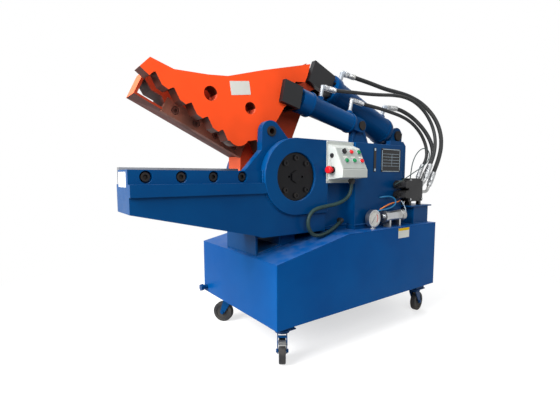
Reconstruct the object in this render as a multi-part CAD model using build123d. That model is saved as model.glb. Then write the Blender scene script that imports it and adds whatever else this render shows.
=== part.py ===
# Hydraulic metal shear on a wheeled oil tank: a lower jaw and side plates welded into one frame, a main shear
# jaw and a toothed hold-down jaw on one pivot shaft, and one hydraulic cylinder for each of them.
#
# X runs from the jaw's nose to the rear, Y from the operator's side to the far side, Z up from the floor.
# Lengths are millimetres. X is counted from the pivot shaft here, and save() moves it so that the origin
# lies on the floor below the middle of the machine.
import math
import os

from build123d import *

# Driving dimensions
PIVOT_Z = 916
NOSE_X, REAR_X = -795, 1171.86
MIDDLE_X = (NOSE_X + REAR_X) / 2

TANK_FRONT_X, TANK_REAR_X, TANK_KNEE_X = -205, 1095, 263
TANK_HALF_WIDTH = 389
TANK_BOTTOM_Z, TANK_TOP_Z, TANK_LIP_Z = 205, 616, 518
SHEET = 5

SHAFT_R, SHAFT_FIT = 80, 0.06
HUB_R, HUB_SCREW_CIRCLE_R, HUB_SCREW_R = 118, 94, 9
RING_R, RING_BORE_R = 192, 121
BOSS_R = 122

JAW_TOP_Z, JAW_LEDGE_Z, JAW_BAND_Z = 944, 887, 838
JAW_NEAR_Y, JAW_FAR_Y, JAW_WEB_Y, JAW_LEDGE_Y = -248, -68, -260, -276
RING_NEAR_Y, CHEEK_NEAR_Y, CHEEK_FAR_Y = -280, -235, -195
FAR_CHEEK_Y = (62, 112)
SKIRT_Z = 625

BLADE_LENGTH, BLADE_HEIGHT, BLADE_THICK = 560, 70, 30
BLADE_MIDDLE_X, BLADE_PITCH, BLADE_SCREW_R = -511, 144, 12
BLADE_TOP_Z = 956
COUNTERBORE_R, COUNTERBORE_DEPTH = 25, 32

SHEAR_Y = (-66, 57)
SHEAR_ANGLE, SHEAR_REACH, SHEAR_NOSE_HEIGHT, SHEAR_HUB_R = 154.2, 795, 120, 205
SHEAR_BLADE_R = (225, 665)
CLAMP_Y, CLAMP_HUB_R = (-187, -113), 150
CLAMP_TEETH, FIRST_NOTCH, TOOTH_STEP = 5, (-657, 1336), (74.5, -51.7)
CLAMP_HOLES = ((-418, 1283, 32), (-213, 1241, 29))

FRAME_TOP_Z, BASE_TOP_Z = 1108, 640
COLUMN_X, COLUMN_Y, COLUMN_WALL = (405, 840), (-297, -120), 14
LUG_HOLE = (-125, 1135)
LUG_PIN_R, LUG_BORE_R = 25, 14

MAIN_PIN, MAIN_EYE, MAIN_Y = (1079, 1203), (362, 1492), -5
MAIN_BORE_R, MAIN_BARREL_R, MAIN_ROD_R = 70, 88, 45
MAIN_TONGUE, MAIN_TRUNNION_R, MAIN_PIN_R = 60, 24, 25
CLAMP_PIN, CLAMP_EYE, CLAMP_MID_Y = (570, 1222), (25, 1342), -150
CLAMP_BORE_R, CLAMP_BARREL_R, CLAMP_ROD_R = 42, 56, 28
CLAMP_TRUNNION_R, CLAMP_PIN_R = 20, 20

BOX_X, BOX_BACK_Y, BOX_FLANGE_X, BOX_FLANGE_Z = (209, 400), -280, (197, 403), (883, 1106)
PANEL_FOOT, PANEL_HEAD = (-389, 952), (-329, 1069)
PANEL_COLUMNS, PANEL_ROWS = (-46, 12, 70), (38, -14)
BUTTON_R, BUTTON_FIT = 11, 0.4
STOP_AT = (-318, 952)

MANIFOLD_X, MANIFOLD_Y, MANIFOLD_Z = (870, 1025), (-330, -215), (758, 905)
PORT_Y, PORT_Z = (-305, -245), (870, 815)
STAND_TOP_Z = 733
VALVE_ZS = (868, 806)
FERRULE_LENGTH, PIPE_LEAN = 45, 60
PIPE_STRAIGHT = {PORT_Z[0]: 20, PORT_Z[1]: 60}

MOTOR_Y, MOTOR_Z, MOTOR_R, MOTOR_X = 262, 734, 92, (340, 640)

WHEEL_R, WHEEL_WIDTH, CASTER_TRAIL, AXLE_R = 62.5, 34, 38, 6
BRAKE_AT, BRAKE_PIN_R = (80, 126), 4
CASTERS = {
    "front_near": (-97, -285, 233.5),
    "front_far": (-80, 300, 130.0),
    "rear_near": (1020, -297, 8.0),
    "rear_far": (1020, 297, -12.0),
}

MAIN_HOSE_R, CLAMP_HOSE_R, CONDUIT_R = 14, 11, 9

parts = {}


def outline(*points):
    return make_face(Polyline(*points, close=True))


def slab(sketch, y0, y1):
    """A plate from y0 to y1 whose outline is drawn in X and Z."""
    return Pos(0, y1, 0) * (Rot(90, 0, 0) * extrude(sketch, y1 - y0))


def bent_sheet(sketch, x0, x1):
    """A form from x0 to x1 whose outline is drawn in Y and Z."""
    return Pos(x0, 0, 0) * extrude(Plane.YZ * sketch, x1 - x0)


def disc(x, z, radius, y0, y1):
    return slab(Pos(x, z) * Circle(radius), y0, y1)


def block(x, y, z):
    """A box from its low and high X, Y and Z."""
    size = [high - low for low, high in (x, y, z)]
    return Pos(x[0], y[0], z[0]) * Box(*size, align=(Align.MIN,) * 3)


def bar(start, end, radius):
    a, b = Vector(*start), Vector(*end)
    base = Plane(origin=a, z_dir=(b - a).normalized())
    return base * Cylinder(radius, (b - a).length, align=(Align.CENTER, Align.CENTER, Align.MIN))


def hexagon(start, end, across_flats):
    a, b = Vector(*start), Vector(*end)
    base = Plane(origin=a, z_dir=(b - a).normalized())
    return extrude(base * RegularPolygon(across_flats / math.sqrt(3), 6), (b - a).length)


def fuse(*pieces):
    whole = pieces[0]
    for piece in pieces[1:]:
        whole += piece
    return whole


def group(pieces):
    """Separate solids that share one node."""
    return Compound([solid for piece in pieces for solid in piece.solids()])


def pipe(points, radius, bend):
    """A rigid pipe with the same bend radius at every corner."""
    spots = [Vector(*p) for p in points]
    profile = Plane(origin=spots[0], z_dir=(spots[1] - spots[0]).normalized()) * Circle(radius)
    return sweep(profile, path=FilletPolyline(*spots, radius=bend))


def tube(name, points, radius):
    """A tube of straight runs joined by arcs as large as its runs allow."""
    spots = [Vector(*p) for p in points]
    radii = []
    for before, corner, after in zip(spots, spots[1:], spots[2:]):
        turn = (corner - before).get_angle(after - corner)
        shorter = min((corner - before).length, (after - corner).length)
        radii.append(0.45 * shorter / math.tan(math.radians(turn) / 2))
    path = FilletPolyline(*spots, radius=radii)
    profile = Plane(origin=spots[0], z_dir=(spots[1] - spots[0]).normalized()) * Circle(radius)
    solid = sweep(profile, path=path)
    share = solid.volume / (math.pi * radius**2 * path.length)
    print(name, "length", round(path.length), "bends", [round(r) for r in radii], "volume share", round(share, 4))
    return solid


def tank_top_at(x):
    slope = (TANK_TOP_Z - TANK_LIP_Z) / (TANK_KNEE_X - TANK_FRONT_X)
    return min(TANK_TOP_Z, TANK_LIP_Z + slope * (x - TANK_FRONT_X))


# The oil tank


def tank():
    """A folded sheet box, open at the top, whose rim slopes down to the front."""
    x0, x1, w, t = TANK_FRONT_X, TANK_REAR_X, TANK_HALF_WIDTH, SHEET
    rim, lip = TANK_TOP_Z - t, TANK_LIP_Z - t
    outer = outline((x0, TANK_BOTTOM_Z), (x1, TANK_BOTTOM_Z), (x1, rim), (TANK_KNEE_X, rim), (x0, lip))
    inside = block((x0 + t, x1 - t), (t - w, w - t), (TANK_BOTTOM_Z + t, TANK_TOP_Z + t))
    return slab(outer, -w, w) - inside


def tank_top():
    """The top sheet, bent once where the front slope begins."""
    x0, x1, w, t = TANK_FRONT_X, TANK_REAR_X, TANK_HALF_WIDTH, SHEET
    under = [(x0, TANK_LIP_Z - t), (TANK_KNEE_X, TANK_TOP_Z - t), (x1, TANK_TOP_Z - t)]
    over = [(x1, TANK_TOP_Z), (TANK_KNEE_X, TANK_TOP_Z), (x0, TANK_LIP_Z)]
    return slab(outline(*under, *over), -w, w)


def tank_fittings():
    """The drain pipe with its cap at the front, and the filler with its breather on the far side."""
    x, y, z = TANK_FRONT_X, 350, 236
    drain = fuse(
        bar((x, y, z), (x - 30, y, z), 14),
        hexagon((x - 26, y, z), (x - 44, y, z), 36),
    )
    fx, fy = 840, 300
    filler = fuse(
        bar((fx, fy, TANK_TOP_Z), (fx, fy, TANK_TOP_Z + 8), 42),
        bar((fx, fy, TANK_TOP_Z + 8), (fx, fy, TANK_TOP_Z + 30), 24),
        bar((fx, fy, TANK_TOP_Z + 30), (fx, fy, TANK_TOP_Z + 62), 36),
    )
    return group([drain, filler])


# The frame


def ring_outline():
    """The near side plate: a ring about the shaft that runs on to the rear along its top edge."""
    ring = Pos(0, PIVOT_Z) * Circle(RING_R)
    cheek = outline((0, 724), (212, 724), (212, FRAME_TOP_Z), (0, FRAME_TOP_Z))
    strip = outline((200, 878), (COLUMN_X[0], 878), (COLUMN_X[0], FRAME_TOP_Z), (200, FRAME_TOP_Z))
    return ring + cheek + strip


def blade_screw_xs():
    return [BLADE_MIDDLE_X + BLADE_PITCH * (i - 1.5) for i in range(4)]


def lower_jaw():
    """The fixed jaw: a band that holds the blade, a ledge, and a web that deepens towards the pivot."""
    root = -190
    band = block((NOSE_X, root), (JAW_NEAR_Y, JAW_FAR_Y), (JAW_BAND_Z, JAW_TOP_Z))
    ledge = block((NOSE_X, -150), (JAW_LEDGE_Y, JAW_NEAR_Y), (JAW_BAND_Z, JAW_LEDGE_Z))
    below = outline((NOSE_X, JAW_BAND_Z), (NOSE_X, 772), (-242, 640), (root, SKIRT_Z), (root, JAW_BAND_Z))
    web = slab(below, JAW_WEB_Y, JAW_FAR_Y)
    below_ring = outline((root, SKIRT_Z), (212, SKIRT_Z), (212, 800), (root, JAW_LEDGE_Z))
    skirt = slab(below_ring, JAW_WEB_Y, CHEEK_NEAR_Y)
    jaw = fuse(band, ledge, web, skirt) - slab(ring_outline(), RING_NEAR_Y - 1, CHEEK_NEAR_Y)
    seat_end = BLADE_MIDDLE_X + BLADE_LENGTH / 2 + 1
    seat = block((NOSE_X - 1, seat_end), (JAW_FAR_Y - BLADE_THICK, 0), (BLADE_TOP_Z - BLADE_HEIGHT, JAW_TOP_Z + 1))
    jaw -= seat
    for x in blade_screw_xs():
        jaw -= disc(x, PIVOT_Z, COUNTERBORE_R, JAW_NEAR_Y, JAW_NEAR_Y + COUNTERBORE_DEPTH)
        jaw -= disc(x, PIVOT_Z, BLADE_SCREW_R + 1, JAW_NEAR_Y, JAW_FAR_Y)
    return jaw


def lower_blade():
    half = BLADE_LENGTH / 2
    x = (BLADE_MIDDLE_X - half, BLADE_MIDDLE_X + half)
    blade = block(x, (JAW_FAR_Y - BLADE_THICK, JAW_FAR_Y), (BLADE_TOP_Z - BLADE_HEIGHT, BLADE_TOP_Z))
    for screw_x in blade_screw_xs():
        blade -= disc(screw_x, PIVOT_Z, BLADE_SCREW_R + 0.05, JAW_FAR_Y - BLADE_THICK, JAW_FAR_Y)
    return blade


def ring_plate():
    return slab(ring_outline() - Pos(0, PIVOT_Z) * Circle(RING_BORE_R), RING_NEAR_Y, CHEEK_NEAR_Y)


def hub_screw_spots():
    for angle in (45, 90, 135, 225, 270, 315):
        a = math.radians(angle)
        yield HUB_SCREW_CIRCLE_R * math.cos(a), PIVOT_Z + HUB_SCREW_CIRCLE_R * math.sin(a)


def inner_cheek():
    """The plate that carries the shaft's near end, with a sloped front gusset and a lifting lug."""
    x, z = LUG_HOLE
    ring = Pos(0, PIVOT_Z) * Circle(RING_R - 3)
    wall = outline((-190, BASE_TOP_Z), (COLUMN_X[0], BASE_TOP_Z), (COLUMN_X[0], FRAME_TOP_Z), (0, FRAME_TOP_Z),
                   (0, PIVOT_Z), (-190, PIVOT_Z))
    gusset = outline((-275, JAW_TOP_Z), (-182, 1043), (-100, 1060), (-100, JAW_TOP_Z))
    lug = outline((-182, 1040), (x - 52, z), (x + 37, z + 37), (-20, 1104), (0, 1000)) + Pos(x, z) * Circle(52)
    sketch = ring + wall + gusset + lug - Pos(x, z) * Circle(LUG_PIN_R + 0.05)
    plate = slab(sketch, CHEEK_NEAR_Y, CHEEK_FAR_Y) - disc(0, PIVOT_Z, SHAFT_R + 0.05, CHEEK_NEAR_Y, CHEEK_FAR_Y)
    for sx, sz in hub_screw_spots():
        plate -= disc(sx, sz, HUB_SCREW_R + 0.05, CHEEK_NEAR_Y, CHEEK_NEAR_Y + 20)
    return plate


def far_cheek():
    """The plate that carries the shaft's far end."""
    ring = Pos(0, PIVOT_Z) * Circle(RING_R)
    wall = outline((-190, BASE_TOP_Z), (770, BASE_TOP_Z), (770, 1010), (600, FRAME_TOP_Z), (0, FRAME_TOP_Z),
                   (0, PIVOT_Z), (-190, PIVOT_Z))
    y0, y1 = FAR_CHEEK_Y
    plate = slab(ring + wall, y0, y1) - disc(0, PIVOT_Z, SHAFT_R + 0.05, y0, y1)
    for x, z in hub_screw_spots():
        plate -= disc(x, z, HUB_SCREW_R + 0.05, y1 - 20, y1)
    return plate


def frame_base():
    """The floor plates, the open foot tube on the tank's slope, and two cross walls."""
    near, far = CHEEK_NEAR_Y, FAR_CHEEK_Y[1]
    front = block((-190, TANK_KNEE_X), (near, far), (SKIRT_Z, BASE_TOP_Z))
    middle = block((TANK_KNEE_X, COLUMN_X[0]), (near, far), (TANK_TOP_Z, BASE_TOP_Z))
    column = block((COLUMN_X[0], 845), (COLUMN_Y[0], far), (TANK_TOP_Z, BASE_TOP_Z))
    rear = block((845, 1088), (-203, far), (TANK_TOP_Z, BASE_TOP_Z))
    x0, x1, wall = -188, -33, 12
    foot = outline((x0, tank_top_at(x0)), (x1, tank_top_at(x1)), (x1, SKIRT_Z), (x0, SKIRT_Z))
    hollow = outline(
        (x0 + wall, tank_top_at(x0) + wall), (x1 - wall, tank_top_at(x1) + wall),
        (x1 - wall, SKIRT_Z - wall), (x0 + wall, SKIRT_Z - wall),
    )
    tube_foot = slab(foot - hollow, -187, far)
    rib = slab(outline((x1, tank_top_at(x1)), (60, tank_top_at(60)), (60, SKIRT_Z), (x1, SKIRT_Z)), -187, -167)
    front_wall = block((215, 240), (CHEEK_FAR_Y, FAR_CHEEK_Y[0]), (BASE_TOP_Z, 1000))
    rear_wall = block((740, 765), (COLUMN_Y[1], FAR_CHEEK_Y[0]), (BASE_TOP_Z, 1060))
    return fuse(front, middle, column, rear, tube_foot, rib, front_wall, rear_wall)


def rear_column():
    """The box column behind the control box."""
    t = COLUMN_WALL
    outer = block(COLUMN_X, COLUMN_Y, (BASE_TOP_Z, FRAME_TOP_Z))
    inner = block(
        (COLUMN_X[0] + t, COLUMN_X[1] - t), (COLUMN_Y[0] + t, COLUMN_Y[1] - t), (BASE_TOP_Z - 1, FRAME_TOP_Z - t)
    )
    return outer - inner


def clamp_post():
    """The plate on top of the column to which the hold-down cylinder is pinned."""
    x, z = CLAMP_PIN
    post = outline((516, FRAME_TOP_Z), (672, FRAME_TOP_Z), (x + 42, z + 15), (x - 43, z + 13))
    head = post + Pos(x, z) * Circle(45) - Pos(x, z) * Circle(CLAMP_PIN_R + 0.05)
    return slab(head, CLAMP_MID_Y - 17, CLAMP_MID_Y + 17)


def rear_lugs():
    """The rear side plate, and the two plates between which the main cylinder is pinned."""
    x, z = MAIN_PIN
    side = outline((840, BASE_TOP_Z), (1013, BASE_TOP_Z), (1013, 1120), (985, 1148), (840, 1148))
    post = outline((780, BASE_TOP_Z), (1085, BASE_TOP_Z), (x + 58, z), (x - 58, z), (985, 1100), (780, 1060))
    head = post + Pos(x, z) * Circle(58) - Pos(x, z) * Circle(MAIN_PIN_R + 0.05)
    near, far = (MAIN_Y - 75, MAIN_Y - 40), (MAIN_Y + 40, MAIN_Y + 75)
    back = block((800, 820), (near[1], far[0]), (BASE_TOP_Z, 1040))
    tie = block((985, 1005), (-170, near[0]), (BASE_TOP_Z, 1000))
    return fuse(slab(side, -200, -170), slab(head, *near), slab(head, *far), back, tie)


def socket_screw(x, z, face_y, into, head_r, head_depth, shank_r, shank):
    """A cap screw along Y. Its head stands out of face_y against the direction of into."""
    head = bar((x, face_y - into * head_depth, z), (x, face_y, z), head_r)
    socket = hexagon((x, face_y - into * head_depth, z), (x, face_y - into * head_depth / 2, z), head_r)
    return head - socket + bar((x, face_y, z), (x, face_y + into * shank, z), shank_r)


def socket_screws():
    """The four screws of the lower blade and the six at each end of the shaft."""
    seat = JAW_NEAR_Y + COUNTERBORE_DEPTH
    screws = [socket_screw(x, PIVOT_Z, seat, 1, 18, 24, BLADE_SCREW_R, -74 - seat) for x in blade_screw_xs()]
    near_face, far_face = CHEEK_NEAR_Y - 33, FAR_CHEEK_Y[1] + 18
    for x, z in hub_screw_spots():
        screws.append(socket_screw(x, z, near_face, 1, 14, 9, HUB_SCREW_R, 50))
        screws.append(socket_screw(x, z, far_face, -1, 14, 12, HUB_SCREW_R, 36))
    return group(screws)


def pivot_shaft():
    return disc(0, PIVOT_Z, SHAFT_R, CHEEK_NEAR_Y, FAR_CHEEK_Y[1])


def hub_discs():
    """The black discs that hold the shaft: one sunk in the near ring, one on the far cheek."""
    near = disc(0, PIVOT_Z, HUB_R, CHEEK_NEAR_Y - 33, CHEEK_NEAR_Y)
    far = disc(0, PIVOT_Z, HUB_R, FAR_CHEEK_Y[1], FAR_CHEEK_Y[1] + 18)
    face = CHEEK_NEAR_Y - 33
    near += hexagon((0, face, PIVOT_Z), (0, face - 8, PIVOT_Z), 55)
    for x in (-42, 42):
        near -= disc(x, PIVOT_Z, 6, face, face + 14)
    for x, z in hub_screw_spots():
        near -= disc(x, z, HUB_SCREW_R + 0.05, face, CHEEK_NEAR_Y)
        far -= disc(x, z, HUB_SCREW_R + 0.05, FAR_CHEEK_Y[1], FAR_CHEEK_Y[1] + 18)
    return group([near, far])


def frame_pins():
    """The lifting lug's bush and the two rear cylinder pins."""
    x, z = LUG_HOLE
    lug = disc(x, z, LUG_PIN_R, CHEEK_NEAR_Y - 6, CHEEK_FAR_Y)
    lug -= disc(x, z, LUG_BORE_R, CHEEK_NEAR_Y - 6, CHEEK_FAR_Y)
    x, z = MAIN_PIN
    main = disc(x, z, MAIN_PIN_R, MAIN_Y - 82, MAIN_Y + 82)
    main += disc(x, z, 34, MAIN_Y - 88, MAIN_Y - 75.3) + disc(x, z, 34, MAIN_Y + 75.3, MAIN_Y + 88)
    x, z = CLAMP_PIN
    clamp = disc(x, z, CLAMP_PIN_R, CLAMP_MID_Y - 52, CLAMP_MID_Y + 52)
    clamp += disc(x, z, 27, CLAMP_MID_Y - 54, CLAMP_MID_Y - 45.5)
    clamp += disc(x, z, 27, CLAMP_MID_Y + 45.5, CLAMP_MID_Y + 54)
    return group([lug, main, clamp])


# The moving jaws


def along_blade(distance, height):
    """A point at that distance from the shaft along the main jaw's cutting line, and that height above it."""
    a = math.radians(SHEAR_ANGLE)
    return (
        distance * math.cos(a) + height * math.sin(a),
        PIVOT_Z + distance * math.sin(a) - height * math.cos(a),
    )


def main_jaw():
    """The cutting jaw: a thick arm with a see-through nose, a round hub and a narrowed tongue at its tail."""
    rise = 6
    arm = outline(
        along_blade(SHEAR_REACH, rise), along_blade(SHEAR_REACH, SHEAR_NOSE_HEIGHT),
        (-560, 1352), (-330, 1335), (-120, 1385), (255, 1565), (262, 1400), (186, 1242), (139, 1139),
        (150, 1000), (0, 900), (-201, 950), along_blade(SHEAR_BLADE_R[0], rise),
    )
    hub = Pos(0, PIVOT_Z) * Circle(SHEAR_HUB_R)
    window = outline(
        along_blade(783, 16), along_blade(640, 16), along_blade(690, 60), along_blade(738, 58), along_blade(783, 88)
    )
    eye_x, eye_z = MAIN_EYE
    room = Pos(eye_x, eye_z) * Circle(138)
    jaw = slab(arm + hub - room - window, *SHEAR_Y)
    half = MAIN_TONGUE / 2
    tongue = outline((225, 1540), (eye_x - 15, eye_z + 50), (eye_x - 15, eye_z - 50), (215, 1380))
    tongue += Pos(eye_x, eye_z) * Circle(52)
    jaw += slab(tongue, MAIN_Y - half, MAIN_Y + half)
    jaw += disc(eye_x, eye_z, MAIN_TRUNNION_R, MAIN_Y - 50, MAIN_Y + 50)
    jaw += disc(0, PIVOT_Z, BOSS_R, -105.5, FAR_CHEEK_Y[0] - 0.5)
    jaw -= disc(0, PIVOT_Z, SHAFT_R + SHAFT_FIT, -120, 70)
    start, end = SHEAR_BLADE_R
    seat = outline(
        along_blade(start - 1, -9), along_blade(end + 1, -9), along_blade(end + 1, 70), along_blade(start - 1, 70)
    )
    jaw -= slab(seat, SHEAR_Y[0] - 5, SHEAR_Y[0] - 1.5 + BLADE_THICK)
    for distance in upper_screw_distances():
        x, z = along_blade(distance, 35)
        jaw -= disc(x, z, BLADE_SCREW_R + 0.05, SHEAR_Y[0], SHEAR_Y[1] - 20)
    return jaw


def upper_screw_distances():
    start, end = SHEAR_BLADE_R
    pitch = (end - start) / 4
    return [start + pitch * (i + 0.5) for i in range(4)]


def upper_blade():
    """The bar that does the cutting, let into the near side of the main jaw."""
    start, end = SHEAR_BLADE_R
    bar_outline = outline(along_blade(start, 0), along_blade(end, 0), along_blade(end, 69), along_blade(start, 69))
    blade = slab(bar_outline, SHEAR_Y[0] - 1.5, SHEAR_Y[0] - 1.5 + BLADE_THICK)
    for distance in upper_screw_distances():
        x, z = along_blade(distance, 35)
        blade -= disc(x, z, 19, SHEAR_Y[0] - 2, SHEAR_Y[0] + 12)
        blade -= disc(x, z, BLADE_SCREW_R + 0.05, SHEAR_Y[0] - 2, SHEAR_Y[0] + 40)
    return blade


def upper_blade_screws():
    screws = []
    for distance in upper_screw_distances():
        x, z = along_blade(distance, 35)
        screws.append(socket_screw(x, z, SHEAR_Y[0] + 12, 1, 17, 12, BLADE_SCREW_R, 60))
    return group(screws)


def hold_down_jaw():
    """The pressing jaw: a single thick plate with five teeth, a round heel and two lightening holes."""
    teeth = []
    for i in range(CLAMP_TEETH):
        x, z = FIRST_NOTCH[0] + i * TOOTH_STEP[0], FIRST_NOTCH[1] + i * TOOTH_STEP[1]
        teeth += [(x - 9, z - 2), (x, z), (x + 24, z - 47), (x + 50, z - 62)]
    eye_x, eye_z = CLAMP_EYE
    plate = outline(
        (-719, 1347), (-682, 1318), *teeth[:-1], (-278, 1078), (-180, 1094), (-132, 990), (70, 1049), (-40, 1100),
        (-66, 1184), (-10, 1268), (50, 1315), (45, 1372), (62, 1405), (125, 1412), (140, 1440), (163, 1511),
        (-140, 1429), (-331, 1371), (-429, 1362), (-581, 1359), (-677, 1390),
    )
    plate += Pos(-278, 1120) * Circle(60)
    plate += Pos(0, PIVOT_Z) * Circle(CLAMP_HUB_R)
    plate += Pos(eye_x, eye_z) * Circle(36)
    for x, z, radius in CLAMP_HOLES:
        plate -= Pos(x, z) * Circle(radius)
    jaw = slab(plate, *CLAMP_Y)
    jaw += disc(eye_x, eye_z, CLAMP_TRUNNION_R, CLAMP_MID_Y - 53, CLAMP_MID_Y + 53)
    jaw += disc(0, PIVOT_Z, BOSS_R, CHEEK_FAR_Y + 0.5, -106)
    return jaw - disc(0, PIVOT_Z, SHAFT_R + SHAFT_FIT, -200, -100)


# The cylinders, each drawn along its own axis from its rear pin


class Ram:
    """Places points of a cylinder: distance from its rear pin, offset along Y, and height above its axis."""

    def __init__(self, pin, eye, middle_y):
        self.length = math.hypot(eye[0] - pin[0], eye[1] - pin[1])
        self.dx, self.dz = (eye[0] - pin[0]) / self.length, (eye[1] - pin[1]) / self.length
        self.pin, self.y = pin, middle_y

    def at(self, distance, across=0.0, height=0.0):
        x = self.pin[0] + distance * self.dx + height * self.dz
        return x, self.y + across, self.pin[1] + distance * self.dz - height * self.dx

    def rod(self, start, end, radius):
        return bar(self.at(start), self.at(end), radius)

    def box(self, along, across, height):
        plane = Plane(origin=self.at(0), x_dir=(self.dx, 0, self.dz), z_dir=(self.dz, 0, -self.dx))
        return plane * block(along, across, height)

    def cross(self, distance, height, radius, across):
        return bar(self.at(distance, across[0], height), self.at(distance, across[1], height), radius)

    def elbow_end(self, distance, corner, out, length=45):
        x, y, z = self.at(distance, 0, corner)
        reach = Vector(*out).normalized() * length
        return x + reach.X, y + reach.Y, z + reach.Z

    def elbow(self, distance, surface, corner, out, radius):
        """A port boss, a riser and a bend to the hose, which leaves along out."""
        x, y, z = self.at(distance, 0, corner)
        end = self.elbow_end(distance, corner, out)
        return fuse(
            bar(self.at(distance, 0, surface - 8), self.at(distance, 0, surface + 14), radius + 6),
            bar(self.at(distance, 0, surface), (x, y, z), radius - 2),
            Pos(x, y, z) * Sphere(radius - 2),
            bar((x, y, z), end, radius),
        )


MAIN_RAM = Ram(MAIN_PIN, MAIN_EYE, MAIN_Y)
CLAMP_RAM = Ram(CLAMP_PIN, CLAMP_EYE, CLAMP_MID_Y)
MAIN_HEAD_OUT, MAIN_REAR_OUT = (0.985, -0.10, -0.13), (0.92, -0.38, -0.05)
CLAMP_HEAD_OUT, CLAMP_REAR_OUT = (1.0, 0.0, -0.06), (1.0, 0.0, -0.12)


def main_barrel():
    ram, bore, outer = MAIN_RAM, MAIN_BORE_R, MAIN_BARREL_R
    body = fuse(ram.rod(72, 640, outer), ram.rod(622, 668, outer + 9), ram.rod(90, 108, outer + 5))
    body += ram.box((0, 76), (-35, 35), (-52, 52)) + ram.cross(0, 0, 52, (-35, 35))
    body -= ram.rod(96, 628, bore) + ram.rod(628, 668, MAIN_ROD_R + 0.05)
    body -= ram.cross(0, 0, MAIN_PIN_R + 0.06, (-35, 35))
    body += ram.elbow(590, outer, 162, MAIN_HEAD_OUT, 17)
    return body + ram.elbow(130, outer, 168, MAIN_REAR_OUT, 17)


def main_rod():
    return MAIN_RAM.rod(105, 150, MAIN_BORE_R - 0.06) + MAIN_RAM.rod(150, 685, MAIN_ROD_R)


def main_rod_end():
    """The black clevis block. Its cheeks have blind pockets for the jaw's trunnions."""
    ram = MAIN_RAM
    end, half = ram.length + 88, MAIN_TONGUE / 2 + 2
    body = ram.box((685, end), (-65, 65), (-66, 66)) - ram.box((715, end + 1), (-half, half), (-67, 67))
    return body - ram.cross(ram.length, 9.3, MAIN_TRUNNION_R + 12, (-54, 54))


def clamp_barrel():
    ram, bore, outer = CLAMP_RAM, CLAMP_BORE_R, CLAMP_BARREL_R
    body = fuse(ram.rod(56, 452, outer), ram.rod(398, 478, outer + 9), ram.rod(396, 408, outer + 13))
    body += ram.rod(64, 78, outer + 4)
    for y0, y1 in ((-45, -19), (19, 45)):
        body += ram.box((0, 60), (y0, y1), (-40, 40)) + ram.cross(0, 0, 40, (y0, y1))
    body -= ram.rod(76, 446, bore) + ram.rod(446, 478, CLAMP_ROD_R + 0.05)
    body -= ram.cross(0, 0, CLAMP_PIN_R + 0.06, (-45, 45))
    body += ram.elbow(322, outer, 128, CLAMP_HEAD_OUT, 14)
    return body + ram.elbow(78, outer, 140, CLAMP_REAR_OUT, 14)


def clamp_rod():
    return CLAMP_RAM.rod(84, 118, CLAMP_BORE_R - 0.06) + CLAMP_RAM.rod(118, 499, CLAMP_ROD_R)


def clamp_rod_end():
    ram = CLAMP_RAM
    end = ram.length + 59
    body = ram.box((499, end), (-65, 65), (-66, 48)) - ram.box((516, end + 1), (-39, 39), (-67, 49))
    return body - ram.cross(ram.length, 1.9, CLAMP_TRUNNION_R + 4, (-57, 57))


# The controls

PANEL_X = (BOX_X[0] + BOX_X[1]) / 2
PANEL_LENGTH = math.hypot(PANEL_HEAD[0] - PANEL_FOOT[0], PANEL_HEAD[1] - PANEL_FOOT[1])
PANEL_RISE = ((PANEL_HEAD[0] - PANEL_FOOT[0]) / PANEL_LENGTH, (PANEL_HEAD[1] - PANEL_FOOT[1]) / PANEL_LENGTH)
PANEL = Plane(
    origin=(PANEL_X, (PANEL_FOOT[0] + PANEL_HEAD[0]) / 2, (PANEL_FOOT[1] + PANEL_HEAD[1]) / 2),
    x_dir=(1, 0, 0),
    z_dir=(0, -PANEL_RISE[1], PANEL_RISE[0]),
)
PANEL_THICK = 2.5


def panel_spots():
    return [(x, y) for y in PANEL_ROWS for x in PANEL_COLUMNS]


def on_panel(x, y, low, high, radius):
    """A round piece square to the panel, from low to high above the housing's sloped face."""
    return PANEL * (Pos(x, y, low) * Cylinder(radius, high - low, align=(Align.CENTER, Align.CENTER, Align.MIN)))


def control_box():
    """The sloped sheet housing on its back flange, open behind the panel."""
    wall = 3
    side = [(-284, 900), (-389, 912), PANEL_FOOT, PANEL_HEAD, (-284, 1086)]
    inside = offset(outline(*side), -wall, kind=Kind.INTERSECTION)
    shell = bent_sheet(outline(*side), *BOX_X) - bent_sheet(inside, BOX_X[0] + wall, BOX_X[1] - wall)
    flange = block(BOX_FLANGE_X, (-284, BOX_BACK_Y), BOX_FLANGE_Z)
    body = shell + flange
    body -= PANEL * Box(164, 108, 12)
    body -= bar((BOX_X[0] - 1, *STOP_AT), (BOX_X[0] + wall + 1, *STOP_AT), BUTTON_R + 1)
    return body


def control_panel():
    """The grey plate on the slope, with the fixed collars of its six controls."""
    plate = PANEL * (Pos(0, 0, PANEL_THICK / 2) * Box(180, 118, PANEL_THICK))
    for x, y in panel_spots():
        plate += on_panel(x, y, PANEL_THICK, 5, 14.5)
    for x, y in panel_spots():
        plate -= on_panel(x, y, -1, 6, BUTTON_R + BUTTON_FIT)
    return plate


def button(column, row):
    """A push button whose stem ends inside the housing."""
    cap = Cylinder(BUTTON_R, 24)
    cap = fillet(cap.edges().filter_by(GeomType.CIRCLE).sort_by(Axis.Z)[-1], 2)
    return PANEL * (Pos(PANEL_COLUMNS[column], PANEL_ROWS[row], 0) * cap)


def selector():
    """The black rotary switch with its grip bar."""
    x, y = PANEL_COLUMNS[0], PANEL_ROWS[0]
    grip = PANEL * (Pos(x, y, 16) * Box(8, 24, 12))
    return on_panel(x, y, -12, 12, BUTTON_R) + on_panel(x, y, 6, 12, 13.5) + grip


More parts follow.
